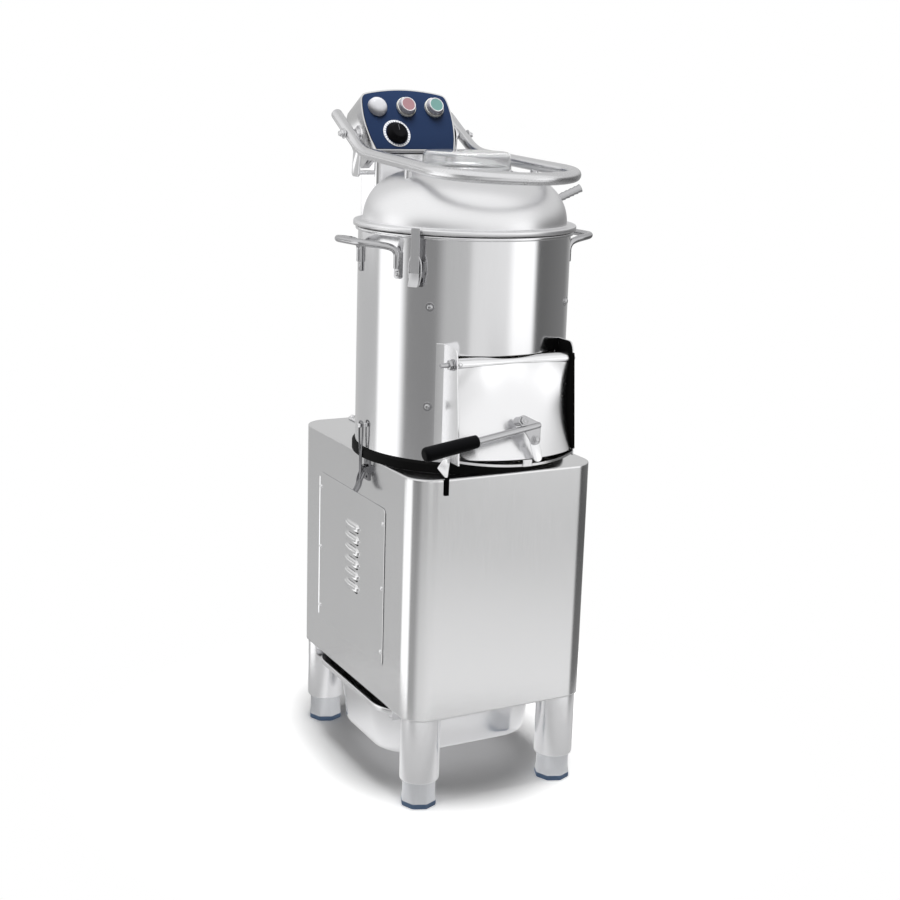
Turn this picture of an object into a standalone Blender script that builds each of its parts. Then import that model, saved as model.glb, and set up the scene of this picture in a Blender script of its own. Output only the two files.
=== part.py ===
"""Floor-standing electric potato peeler.

The machine is modelled in metres, +Z up, standing on z = 0 with its front towards -Y. The origin is under the
middle of its width and depth. The drum's axis is vertical and lies a little in front of the origin. A distance
named a reach is measured forwards from the drum's axis.
"""
import math

import bmesh
import bpy
from mathutils import Matrix, Vector, geometry

# Clearances and common sheet sizes
GAP = 0.0003
RUNNING = 0.0003
OVERRUN = 0.004
BITE = 0.0005
MERGE = 0.00001
SHEET = 0.0015

# Facets of round pieces
DRUM_STEPS = 40
PULLEY_STEPS = 32
LEG_STEPS = 16
SMALL_STEPS = 8
HUB_STEPS = 10
DISC_STEPS = 32
HEX = 6
TUBE_SIDES = 2
CORNER_STEPS = 3

# Cabinet
CABINET_WIDTH = 0.306
CABINET_DEPTH = 0.423
CABINET_HEIGHT = 0.370
CABINET_REACH = 0.1625
CABINET_CORNER = 0.037
CABINET_EDGE = 0.003
FLOOR_SHEET = 0.002

# Legs and feet
LEG_LENGTH = 0.102
LEG_RADIUS = 0.030
LEG_WALL = 0.0016
LEG_INSET_X = 0.0345
LEG_INSET_Y = 0.0334
LEG_BUSH = 0.010
FOOT_HEIGHT = 0.042
FOOT_RADIUS = 0.0255
FOOT_FLARE = 0.0275
FOOT_PAD = 0.004
STEM_RADIUS = 0.010
STEM_LENGTH = 0.070

# Service panel in the left side
PANEL_LENGTH = 0.243
PANEL_HEIGHT = 0.249
PANEL_CORNER = 0.008
PANEL_SHEET = 0.0012
PANEL_SILL = 0.056
PANEL_OFFSET = 0.0065
PANEL_LAP = 0.012
PANEL_SCREW_INSET = 0.006
SCREW_HEAD = 0.004
LOUVRE_COUNT = 6
LOUVRE_LENGTH = 0.053
LOUVRE_PITCH = 0.0194
LOUVRE_HEIGHT = 0.010
LOUVRE_DEPTH = 0.0035
LOUVRE_SLOT = 0.003
LOUVRE_LINE = 0.0070
LOUVRE_TOP = 0.193

# Basin and its runners
RAIL_LENGTH = 0.300
RAIL_SHEET = 0.0025
RAIL_LEDGE = 0.011
BASIN_LENGTH = 0.320
BASIN_WIDTH = 0.288
BASIN_DEPTH = 0.096
BASIN_LIP = 0.0178
BASIN_SHELF = 0.0302
BASIN_EDGE = 0.0075
BASIN_DROP = 0.0075
BASIN_SHEET = 0.0015
BASIN_CORNER = 0.066
BASIN_RIM_CORNER = 0.052
BASIN_DRAFT = 0.0105
BASIN_ROUND = 0.010

# Drum, its seal and the pan under it
DRUM_RADIUS = 0.159
DRUM_HEIGHT = 0.3256
DRUM_BEAD = 0.004
DRUM_BEAD_HEIGHT = 0.006
DRUM_LEDGE = 0.008
SEAL_HEIGHT = 0.0130
SEAL_WIDTH = 0.010
PAN_RADIUS = 0.1440
PAN_FLANGE = 0.1625
PAN_DEPTH = 0.022
PAN_BOSS = 0.0180
PAN_BOSS_HEIGHT = 0.018

# Abrasive liner, disc and spindle
LINER_SHEET = 0.002
LINER_TOP = 0.070
STUD_RADIUS = 0.003
STUD_HEAD = 0.0055
STUD_HEAD_DEPTH = 0.0028
STUD_CROWN_SHARE = 0.7
STUD_LOW = 0.081
STUD_HIGH = 0.225
DISC_RADIUS = 0.1545
DISC_RISE = 0.0176
DISC_SHEET = 0.006
DISC_HUB = 0.0165
DISC_HUB_DROP = 0.021
RIDGE_LENGTH = 0.100
RIDGE_WIDTH = 0.022
RIDGE_HEIGHT = 0.006
RIDGE_COUNT = 3
SPINDLE_RADIUS = 0.012
HOUSING_RADIUS = 0.032
HOUSING_FLANGE = 0.052
HOUSING_HEIGHT = 0.088
HOUSING_FLANGE_SHEET = 0.005
BEARING_RADIUS = 0.026
BEARING_WIDTH = 0.013
SEAL_RING_WIDTH = 0.0095

# Belt drive and motor
PULLEY_RADIUS = 0.085
PULLEY_WIDTH = 0.018
PULLEY_DROP = 0.008
GROOVE_DEPTH = 0.008
GROOVE_WIDTH = 0.012
BELT_HEIGHT = 0.005
BELT_THICKNESS = 0.006
BELT_SEAT = 0.0042
MOTOR_PULLEY_RADIUS = 0.022
MOTOR_DISTANCE = 0.155
MOTOR_RADIUS = 0.060
MOTOR_HEIGHT = 0.184
MOTOR_BELL = 0.010
MOTOR_DROP = 0.024
SHAFT_RADIUS = 0.008
SHAFT_GRIP = 0.050
BRACKET_SHEET = 0.005
BRACKET_WIDTH = 0.140
BRACKET_RISE = 0.070
DRAIN_RADIUS = 0.018
DRAIN_WALL = 0.0017
DRAIN_DISTANCE = 0.118

# Chute and its door
CHUTE_WIDTH = 0.1928
CHUTE_SHEET = 0.002
CHUTE_REACH_TOP = 0.1669
CHUTE_REACH_LOW = 0.1820
CHUTE_TOP = 0.1740
CHUTE_LOW = 0.0071
CHUTE_SLOPE = 0.007
CHUTE_TAB = 0.0095
CHUTE_ROUND = 0.012
LIP_REACH = 0.2150
LIP_RADIUS = 0.1500
OPENING_WIDTH = 0.170
OPENING_LOW = 0.0171
OPENING_TOP = 0.1696
OPENING_ROUND = 0.010
DOOR_WIDTH = 0.1850
DOOR_SHEET = 0.002
DOOR_LEAN = math.radians(15.5)
DOOR_ROD_REACH = 0.1551
DOOR_ROD_RISE = 0.1484
DOOR_ROD_RADIUS = 0.004
DOOR_FACE_REACH = 0.170
DOOR_TOP_RISE = 0.009
DOOR_DROP = 0.1323
DOOR_ROUND = 0.012
SLEEVE_RADIUS = 0.008
NUT_RADIUS = 0.0075
NUT_LENGTH = 0.008

# Clamp lever on the door
CLAMP_OFFSET = -0.008
CLAMP_DROP = 0.0798
LUG_RADIUS = 0.007
LUG_HEIGHT = 0.0115
PIN_RADIUS = 0.003
HUB_SHEET = 0.004
HUB_RADIUS = 0.0075
TONGUE_SHEET = 0.003
TONGUE_PIN_X = 0.016
TONGUE_PIN_Y = -0.028
TONGUE_WIDTH = 0.0145
TONGUE_SHIFT = 0.0035
TONGUE_DROP = 0.032
LEVER_END_X = 0.022
LEVER_END_Y = -0.0083
LEVER_ANGLE = math.radians(188.4)
LEVER_ROD_RADIUS = 0.0045
LEVER_LENGTH = 0.160
GRIP_RADIUS = 0.0105
GRIP_LENGTH = 0.085
GRIP_START = 0.100
CATCH_WIDTH = 0.0155
CATCH_RISE = 0.0100
CATCH_SHEET = 0.003

# Loop handles
HANDLE_ANGLE_LEFT = math.radians(-81.5)
HANDLE_ANGLE_RIGHT = math.radians(90.4)
HANDLE_SPAN = 0.096
HANDLE_RADIUS = 0.005
HANDLE_REACH = 0.2070
HANDLE_BASE = 0.262
HANDLE_TANG = 0.038
HANDLE_TANG_WIDTH = 0.014
HANDLE_RISE = 0.0126
HANDLE_TANG_SHEET = 0.0022
HANDLE_ROOT_SHARE = 0.6
RIVET_RADIUS = 0.004
RIVET_STAND_SHARE = 0.7
RIVET_SHARES = (-0.32, 0.02)
HANDLE_SHARES = ((1.0, 0.0, 0.0), (1.0, 0.0, 0.45), (0.97, 0.12, 0.72), (0.92, 0.35, 0.84),
                 (0.86, 0.62, 0.92),
                 (0.76, 0.85, 0.97), (0.60, 0.97, 1.0), (0.35, 1.0, 1.0), (0.0, 1.0, 1.0))

# Toggle latches
LATCH_WIDTH = 0.0176
LATCH_PLATE = 0.002
LATCH_ROOT = 0.0011
LATCH_PLATE_HEIGHT = 0.036
LATCH_EAR = 0.0016
LATCH_PIN_STAND = 0.0070
LATCH_PIN_RADIUS = 0.0015
LATCH_LEVER_WIDTH = 0.009
LID_LEVER_DROP = 0.020
DRUM_LEVER_DROP = 0.034
LATCH_LEVER_TOP = 0.006
LATCH_ARM = 0.013
STRAP_WIDTH = 0.0135
STRAP_LEG = 0.00175
STRAP_SHEET = 0.0015
STRAP_STAND = 0.0112
LID_LATCH_ANGLE = math.radians(-52.0)
LID_LATCH_DROP = 0.055
DRUM_LATCH_DROP = 0.018
LATCH_LUG_RISE = 0.034
LATCH_LUG_WIDTH = 0.007
LATCH_LUG_HEIGHT = 0.006
LATCH_BAR = 0.004

# Lid, cap and gasket
LID_SHEET = 0.002
LID_RIM_RADIUS = 0.1665
LID_RIM_HEIGHT = 0.0075
LID_SEAT = 0.001
LID_BASE_RADIUS = 0.1549
LID_WAIST_RADIUS = 0.1423
LID_WAIST_RISE = 0.0279
LID_CROWN_RADIUS = 0.070
LID_CROWN_RISE = 0.0736
LID_COLLAR_RADIUS = 0.062
LID_COLLAR_HEIGHT = 0.008
GASKET_WIDTH = 0.009
CAP_RADIUS = 0.0665
CAP_HEIGHT = 0.0300
CAP_FLANGE = 0.069
CAP_WALL = 0.002
INLET_ANGLE = math.radians(80.0)
INLET_PITCH = math.radians(24.2)
INLET_RADIUS = 0.0060
INLET_BORE = 0.0040
INLET_LENGTH = 0.0430
INLET_FLANGE = 0.0095
INLET_FLANGE_SHEET = 0.003
INLET_RIBS = 4
INLET_RIB = 0.0005
INLET_RIB_SHARES = (0.60, 0.65)
INLET_TURN = 0.105

# Bail
BAIL_RADIUS = 0.009
BAIL_HALF_REAR = 0.0997
BAIL_HALF_FRONT = 0.1111
BAIL_REACH = 0.2026
BAIL_CORNER = 0.110
BAIL_FRONT_RISE = 0.0840
BAIL_BEND_BACK = 0.1541
BAIL_BEND_RISE = 0.1008
BAIL_END_BACK = 0.2547
BAIL_END_RISE = 0.1557
BAIL_BEND_RADIUS = 0.030
BAIL_PIVOT_SHARE = 0.480
BAIL_POST_RADIUS = 0.007
BAIL_POST_REACH = 0.020

# Console
COLUMN_WIDTH = 0.125
COLUMN_DEPTH = 0.066
COLUMN_BACK = 0.211
COLUMN_WALL = 0.002
COLUMN_CORNER = 0.010
COLUMN_FOOT = 0.012
COLUMN_FOOT_SHEET = 0.003
EAR_SHEET = 0.003
EAR_WIDTH = 0.026
EAR_ROUND = 0.0125
EAR_DROP = 0.0605
WASHER_SHEET = 0.003
PIVOT_PIN_RADIUS = 0.004
PIVOT_NUT_LENGTH = 0.006
HEAD_TILT = math.radians(60.1)
HEAD_BACK = 0.170
HEAD_RISE = 0.4460
HEAD_DEPTH = 0.066
HEAD_WALL = 0.002
FACE_HALF = 0.0775
FACE_HEIGHT = 0.1037
FACE_SHEET = 0.003
FACE_SIDE_SHARES = ((0.877, 0.0), (0.945, 0.18), (0.985, 0.36), (1.0, 0.54), (0.985, 0.72), (0.960, 0.84),
                    (0.925, 0.895), (0.860, 0.925), (0.60, 0.962), (0.30, 0.990))
BUTTON_HEIGHT = 0.0727
BUTTON_PITCH = 0.0498
BUTTON_SHIFT = -0.0012
BUTTON_RADIUS = 0.0143
BUTTON_PROUD = 0.0120
BUTTON_TRAVEL = 0.004
BUTTON_STEM = 0.006
BEZEL_WALL = 0.0016
BEZEL_PROUD = 0.006
LAMP_RADIUS = 0.0160
LAMP_PROUD = 0.010
KNOB_X = -0.0270
KNOB_Y = 0.0272
KNOB_RADIUS = 0.0180
KNOB_FACE_RADIUS = 0.0115
KNOB_PROUD = 0.0120
KNOB_STAND = 0.002
KNOB_SHAFT = 0.003
UNIT_DEPTH = 0.032
UNIT_WELL_SHARE = 0.7
UNIT_SIZE = 0.040
BLOCK_WIDTH = 0.078
BLOCK_HEIGHT = 0.026
GLAND_RADIUS = 0.008
GLAND_BORE = 0.0045
GLAND_FLANGE = 0.0115
GLAND_PROUD = 0.012
GLAND_NECK_SHARE = 0.8
GLAND_X = 0.090
GLAND_RISE = 0.046

# Heights and places worked out from the sizes above
CABINET_BOTTOM = FOOT_HEIGHT + LEG_LENGTH
CABINET_TOP = CABINET_BOTTOM + CABINET_HEIGHT
CABINET_BACK = CABINET_DEPTH - CABINET_REACH
CABINET_MIDDLE = CABINET_DEPTH / 2 - CABINET_REACH
CABINET_SIDE = CABINET_WIDTH / 2
PAN_TOP = CABINET_TOP + GAP + SHEET
PAN_FLOOR = PAN_TOP - PAN_DEPTH - SHEET
DRUM_BOTTOM = PAN_TOP + SEAL_HEIGHT + 2 * GAP
DRUM_RIM = DRUM_BOTTOM + DRUM_HEIGHT
DRUM_INNER = DRUM_RADIUS - SHEET
DISC_TOP = DRUM_BOTTOM + DISC_RISE
HOUSING_TOP = PAN_FLOOR - GAP
HOUSING_BOTTOM = HOUSING_TOP - HOUSING_HEIGHT
PULLEY_TOP = HOUSING_BOTTOM - PULLEY_DROP
PULLEY_BOTTOM = PULLEY_TOP - PULLEY_WIDTH
MOTOR_TOP = PULLEY_BOTTOM - MOTOR_DROP
OPENING_Z = DRUM_BOTTOM + OPENING_LOW
CHUTE_FLOOR = DRUM_BOTTOM + CHUTE_LOW
DOOR_ROD_Z = DRUM_BOTTOM + DOOR_ROD_RISE
LID_BOTTOM = DRUM_RIM + LID_SEAT
LID_RIM_TOP = LID_BOTTOM + LID_RIM_HEIGHT
LID_CROWN_Z = LID_RIM_TOP + LID_CROWN_RISE
PIVOT_BACK = BAIL_BEND_BACK + (BAIL_END_BACK - BAIL_BEND_BACK) * BAIL_PIVOT_SHARE
PIVOT_Z = DRUM_RIM + BAIL_BEND_RISE + (BAIL_END_RISE - BAIL_BEND_RISE) * BAIL_PIVOT_SHARE
HEAD_Z = CABINET_TOP + HEAD_RISE
HEAD_REAR = HEAD_BACK + (FACE_HEIGHT + HEAD_WALL) * math.cos(HEAD_TILT) + HEAD_DEPTH * math.sin(HEAD_TILT)
CLAMP_REACH = DOOR_FACE_REACH + DOOR_SHEET + CLAMP_DROP * math.tan(DOOR_LEAN)
GRIP_FALL = (GRIP_START + GRIP_LENGTH) * math.sin(LEVER_ANGLE - math.pi) - LEVER_END_Y
GRIP_STAND = (LUG_HEIGHT + HUB_SHEET / 2) * math.cos(DOOR_LEAN) + GRIP_FALL * math.sin(DOOR_LEAN)
FRONT_REACH = CLAMP_REACH + GRIP_STAND + GRIP_RADIUS
AXIS_Y = (FRONT_REACH - HEAD_REAR) / 2

# Rotations that lay a flat outline, drawn in X and Y, against the machine's faces
FLAT = Matrix.Identity(3)
SIDEWAYS = Matrix(((0, 0, 1), (1, 0, 0), (0, 1, 0)))
UPRIGHT = Matrix(((1, 0, 0), (0, 0, -1), (0, 1, 0)))

COLOURS = {
    "steel": ((0.74, 0.74, 0.75), 0.30, 1.0),
    "satin_steel": ((0.68, 0.68, 0.69), 0.42, 1.0),
    "cast": ((0.30, 0.31, 0.33), 0.55, 1.0),
    "rubber": ((0.02, 0.02, 0.02), 0.75, 0.0),
    "black_plastic": ((0.02, 0.02, 0.022), 0.35, 0.0),
    "navy": ((0.019, 0.037, 0.114), 0.45, 0.0),
    "red": ((0.62, 0.26, 0.27), 0.35, 0.0),
    "green": ((0.32, 0.60, 0.53), 0.35, 0.0),
    "white": ((0.80, 0.80, 0.82), 0.35, 0.0),
    "clear": ((0.85, 0.87, 0.88), 0.10, 0.0),
    "grit": ((0.16, 0.15, 0.14), 0.90, 0.0),
    "pad": ((0.16, 0.26, 0.40), 0.60, 0.0),
    "motor_grey": ((0.22, 0.24, 0.27), 0.50, 0.0),
}

for leftover in list(bpy.data.objects):
    bpy.data.objects.remove(leftover, do_unlink=True)

PARTS = bpy.data.collections.new("electric_potato_peeler")
CUTTERS = bpy.data.collections.new("cutters")
bpy.context.scene.collection.children.link(PARTS)
bpy.context.scene.collection.children.link(CUTTERS)


def material(colour):
    """The Principled material of one finish, made once."""
    found = bpy.data.materials.get(colour)
    if found:
        return found
    base, roughness, metallic = COLOURS[colour]
    made = bpy.data.materials.new(colour)
    made.use_nodes = True
    shader = made.node_tree.nodes["Principled BSDF"]
    shader.inputs["Base Color"].default_value = (*base, 1.0)
    shader.inputs["Roughness"].default_value = roughness
    shader.inputs["Metallic"].default_value = metallic
    return made


def empty(name, parent=None, at=(0, 0, 0), turn=FLAT):
    """A guide that carries pieces: a local frame, or a joint's axis."""
    guide = bpy.data.objects.new(name, None)
    PARTS.objects.link(guide)
    guide.parent = parent
    guide.location = at
    guide.rotation_euler = turn.to_euler()
    return guide


def add(name, mesh, parent, colour=None, at=(0, 0, 0), turn=FLAT):
    """Puts a mesh in the scene as a piece, or as a cutter when it has no colour."""
    obj = bpy.data.objects.new(name, mesh)
    obj.parent = parent
    obj.location = at
    obj.rotation_euler = turn.to_euler()
    if colour:
        PARTS.objects.link(obj)
        mesh.materials.append(material(colour))
    else:
        CUTTERS.objects.link(obj)
        obj.hide_render = True
        obj.display_type = "WIRE"
    return obj


def smooth(mesh, angle=math.radians(35)):
    """Shades a round piece smooth and keeps its corners sharp."""
    mesh.shade_smooth()
    mesh.set_sharp_from_angle(angle=angle)


def mesh_from(name, build):
    """Runs a bmesh recipe and returns its mesh."""
    bm = bmesh.new()
    build(bm)
    mesh = bpy.data.meshes.new(name)
    bm.to_mesh(mesh)
    bm.free()
    return mesh


def box_mesh(name, size, centre=(0, 0, 0)):
    """A box of the given size about a centre."""
    def build(bm):
        bmesh.ops.create_cube(bm, size=1)
        bmesh.ops.scale(bm, vec=size, verts=bm.verts)
        bmesh.ops.translate(bm, vec=centre, verts=bm.verts)
    return mesh_from(name, build)


def rod_mesh(name, radius, length, axis="Z", centre=(0, 0, 0), steps=SMALL_STEPS, end_radius=None):
    """A cylinder, or a cone with an end radius, along one axis and centred on a point."""
    turns = {"X": Matrix.Rotation(math.pi / 2, 3, "Y"), "Y": Matrix.Rotation(-math.pi / 2, 3, "X"), "Z": FLAT}
    far = radius if end_radius is None else end_radius

    def build(bm):
        bmesh.ops.create_cone(bm, cap_ends=True, segments=steps, radius1=radius, radius2=far, depth=length)
        bmesh.ops.rotate(bm, matrix=turns[axis], verts=bm.verts)
        bmesh.ops.translate(bm, vec=centre, verts=bm.verts)
    mesh = mesh_from(name, build)
    smooth(mesh)
    return mesh


def together(name, meshes):
    """Several separate shapes in one mesh, for one Boolean."""
    bm = bmesh.new()
    for mesh in meshes:
        bm.from_mesh(mesh)
    joined = bpy.data.meshes.new(name)
    bm.to_mesh(joined)
    bm.free()
    return joined


def turned(name, profile, parent, colour=None, at=(0, 0, 0), turn=FLAT, ring=False, wall=0.0,
           steps=DRUM_STEPS):
    """A turned piece: the profile of (radius, height) points goes round the local Z axis."""
    mesh = bpy.data.meshes.new(name)
    count = len(profile)
    edges = [(i, i + 1) for i in range(count - 1)] + ([(count - 1, 0)] if ring else [])
    mesh.from_pydata([(radius, 0, height) for radius, height in profile], edges, [])
    obj = add(name, mesh, parent, colour, at, turn)
    screw = obj.modifiers.new("turn", "SCREW")
    screw.steps = screw.render_steps = steps
    screw.use_merge_vertices = True
    screw.merge_threshold = MERGE
    screw.use_smooth_shade = True
    if wall:
        shell = obj.modifiers.new("wall", "SOLIDIFY")
        shell.thickness = wall
        shell.offset = -1
    return obj


def as_mesh(curve_object, name):
    """The mesh of a curve object, with its caps welded."""
    graph = bpy.context.evaluated_depsgraph_get()
    mesh = bpy.data.meshes.new_from_object(curve_object.evaluated_get(graph))
    bm = bmesh.new()
    bm.from_mesh(mesh)
    bmesh.ops.remove_doubles(bm, verts=bm.verts, dist=MERGE)
    bm.to_mesh(mesh)
    bm.free()
    mesh.name = name
    mesh.materials.clear()
    bpy.data.objects.remove(curve_object, do_unlink=True)
    return mesh


def spline(curve, points, cyclic):
    """Adds a POLY spline through 2D or 3D points to a curve."""
    line = curve.splines.new("POLY")
    line.points.add(len(points) - 1)
    for place, point in zip(line.points, points):
        place.co = (*point, *([0.0] * (3 - len(point))), 1.0)
    line.use_cyclic_u = cyclic


def tube_mesh(name, points, radius, sides=TUBE_SIDES):
    """A round bar along a path, with closed ends."""
    curve = bpy.data.curves.new(name, "CURVE")
    curve.dimensions = "3D"
    spline(curve, points, False)
    curve.bevel_depth = radius
    curve.bevel_resolution = sides
    curve.use_fill_caps = True
    obj = bpy.data.objects.new(name, curve)
    CUTTERS.objects.link(obj)
    mesh = as_mesh(obj, name)
    smooth(mesh)
    return mesh


def slab_mesh(name, outlines, low, high):
    """A flat plate between two local heights, from closed outlines: first its edge, then its holes."""
    curve = bpy.data.curves.new(name, "CURVE")
    curve.dimensions = "2D"
    curve.fill_mode = "BOTH"
    curve.extrude = (high - low) / 2
    for outline in outlines:
        spline(curve, outline, True)
    obj = bpy.data.objects.new(name, curve)
    CUTTERS.objects.link(obj)
    mesh = as_mesh(obj, name)
    mesh.transform(Matrix.Translation((0, 0, (low + high) / 2)))
    return mesh


def circle(radius, centre=(0, 0), steps=SMALL_STEPS):
    """The points of a circle."""
    turns = [2 * math.pi * i / steps for i in range(steps)]
    return [(centre[0] + radius * math.cos(a), centre[1] + radius * math.sin(a)) for a in turns]


def rounded(width, height, radius, centre=(0, 0), steps=CORNER_STEPS):
    """The points of a rectangle with round corners."""
    points = []
    for corner, (sx, sy) in enumerate(((1, 1), (-1, 1), (-1, -1), (1, -1))):
        middle = (centre[0] + sx * (width / 2 - radius), centre[1] + sy * (height / 2 - radius))
        for i in range(steps + 1):
            a = math.pi / 2 * (corner + i / steps)
            points.append((middle[0] + radius * math.cos(a), middle[1] + radius * math.sin(a)))
    return points


def running_bore(radius, steps=SMALL_STEPS):
    """The radius of a faceted bore whose flats clear a pin of the given radius as it turns."""
    return (radius + RUNNING) / math.cos(math.pi / steps)


def around(circles, steps=SMALL_STEPS):
    """The outline that a belt would take round several circles of (x, y, radius)."""
    points = [point for x, y, radius in circles for point in circle(radius, (x, y), steps)]
    return [points[i] for i in geometry.convex_hull_2d([Vector(p) for p in points])]


def cut(target, tool):
    """Takes a cutter out of a piece."""
    boolean = target.modifiers.new("cut " + tool.name, "BOOLEAN")
    boolean.operation = "DIFFERENCE"
    boolean.object = tool


def join(target, tool):
    """Welds a stock shape to a piece."""
    boolean = target.modifiers.new("weld " + tool.name, "BOOLEAN")
    boolean.operation = "UNION"
    boolean.object = tool


def keep_inside(target, tool):
    """Keeps the part of a piece that lies in the tool."""
    boolean = target.modifiers.new("trim " + tool.name, "BOOLEAN")
    boolean.operation = "INTERSECT"
    boolean.object = tool


def looking(outward, up):
    """The rotation of a frame whose Z points outward and whose Y points up."""
    z = Vector(outward).normalized()
    y = Vector(up).normalized()
    return Matrix((y.cross(z), y, z)).transposed()


def radial(angle):
    """The outward direction at an angle from the front, to the right when positive."""
    return (math.sin(angle), -math.cos(angle), 0)


def mirrored(shapes):
    """Each pair of a side's sign and name."""
    return ((-1, shapes + "_left"), (1, shapes + "_right"))


frame = empty("machine", at=(0, AXIS_Y, 0))


def cabinet():
    """The folded body, its bottom plate, service panel, legs and feet."""
    def build(bm):
        bmesh.ops.create_cube(bm, size=1)
        bmesh.ops.scale(bm, vec=(CABINET_WIDTH, CABINET_DEPTH, CABINET_HEIGHT), verts=bm.verts)
        posts = [e for e in bm.edges if abs(e.verts[0].co.z - e.verts[1].co.z) > CABINET_HEIGHT / 2]
        bmesh.ops.bevel(bm, geom=posts, offset=CABINET_CORNER, segments=CORNER_STEPS + 1, profile=0.5,
                        affect="EDGES")
        lids = [f for f in bm.faces if f.normal.z > 0.9]
        brim = [e for f in lids for e in f.edges]
        bmesh.ops.bevel(bm, geom=brim, offset=CABINET_EDGE, segments=1, profile=0.5, affect="EDGES")
        bmesh.ops.delete(bm, geom=[f for f in bm.faces if f.normal.z < -0.9], context="FACES")
    mesh = mesh_from("cabinet_shell", build)
    smooth(mesh)
    shell = add("cabinet_shell", mesh, frame, "satin_steel",
                (0, CABINET_MIDDLE, CABINET_BOTTOM + CABINET_HEIGHT / 2))
    wall = shell.modifiers.new("wall", "SOLIDIFY")
    wall.thickness = SHEET
    wall.offset = -1

    panel_y = CABINET_MIDDLE + PANEL_OFFSET
    panel_z = CABINET_BOTTOM + PANEL_SILL + PANEL_HEIGHT / 2
    window = rounded(PANEL_LENGTH - 2 * PANEL_LAP, PANEL_HEIGHT - 2 * PANEL_LAP, PANEL_CORNER)
    cut(shell, add("panel_window", slab_mesh("panel_window", [window], -OVERRUN, OVERRUN), frame, None,
                   (-CABINET_SIDE, panel_y, panel_z), SIDEWAYS))
    cut(shell, add("pan_hole", rod_mesh("pan_hole", PAN_RADIUS + GAP, 2 * OVERRUN, steps=DRUM_STEPS), frame,
                   None,
                   (0, 0, CABINET_TOP)))
    cable_way = box_mesh("cable_way", (COLUMN_WIDTH / 2, COLUMN_DEPTH / 2, 2 * OVERRUN))
    cut(shell, add("cable_way", cable_way, frame, None, (0, COLUMN_BACK, CABINET_TOP)))
    gland_hole = rod_mesh("gland_hole", GLAND_RADIUS + GAP, 2 * OVERRUN, "Y", steps=SMALL_STEPS)
    cut(shell, add("gland_hole", gland_hole, frame, None,
                   (GLAND_X, CABINET_BACK, CABINET_BOTTOM + GLAND_RISE)))

    inside = 2 * (SHEET + GAP)
    edge = rounded(CABINET_WIDTH - inside, CABINET_DEPTH - inside, CABINET_CORNER - SHEET, (0, 0),
                   CORNER_STEPS + 1)
    drain = circle(DRAIN_RADIUS + GAP, (DRAIN_DISTANCE, -CABINET_MIDDLE), LEG_STEPS)
    floor = slab_mesh("cabinet_floor", [edge, drain], 0, FLOOR_SHEET)
    add("cabinet_floor", floor, frame, "satin_steel", (0, CABINET_MIDDLE, CABINET_BOTTOM + GAP))

    access_panel(panel_y, panel_z)
    legs()
    return shell


def access_panel(panel_y, panel_z):
    """The louvred panel, which lies on the cabinet's left side and is held by six screws."""
    face = GAP + PANEL_SHEET
    sheet = slab_mesh("access_panel", [rounded(PANEL_LENGTH, PANEL_HEIGHT, PANEL_CORNER)], GAP, face)
    out = looking((-1, 0, 0), (0, 0, 1))
    panel = add("access_panel", sheet, frame, "satin_steel", (-CABINET_SIDE, panel_y, panel_z), out)
    hoods = []
    slots = []
    for i in range(LOUVRE_COUNT):
        height = LOUVRE_TOP - PANEL_HEIGHT / 2 - i * LOUVRE_PITCH
        hood = rod_mesh("hood", LOUVRE_HEIGHT / 2, LOUVRE_LENGTH, "X", (0, 0, 0))
        hood.transform(Matrix.Diagonal((1, 1, 2 * LOUVRE_DEPTH / LOUVRE_HEIGHT, 1)))
        hood.transform(Matrix.Translation((LOUVRE_LINE, height, face)))
        hoods.append(hood)
        low = height - LOUVRE_HEIGHT / 2 - LOUVRE_SLOT / 2
        slot_size = (LOUVRE_LENGTH - 2 * LOUVRE_SLOT, LOUVRE_SLOT / 2, 2 * OVERRUN)
        slots.append(box_mesh("slot", slot_size, (LOUVRE_LINE, low, 0)))
    join(panel, add("louvre_hoods", together("louvre_hoods", hoods), frame, None, panel.location, out))
    behind = box_mesh("louvre_backs", (PANEL_LENGTH, PANEL_HEIGHT, LOUVRE_HEIGHT),
                      (0, 0, GAP - LOUVRE_HEIGHT / 2))
    cut(panel, add("louvre_backs", behind, frame, None, panel.location, out))
    cut(panel, add("louvre_slots", together("louvre_slots", slots), frame, None, panel.location, out))
    heads = []
    across = PANEL_LENGTH / 2 - PANEL_SCREW_INSET
    up = PANEL_HEIGHT / 2 - 4 * PANEL_SCREW_INSET
    for x in (-across, across):
        for y in (-up, 0, up):
            heads.append(rod_mesh("head", SCREW_HEAD, SCREW_HEAD / 2 + BITE, "Z",
                                  (x, y, face + SCREW_HEAD / 4),
                                  end_radius=SCREW_HEAD / 2))
    join(panel, add("panel_screws", together("panel_screws", heads), frame, None, panel.location, out))


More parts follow.
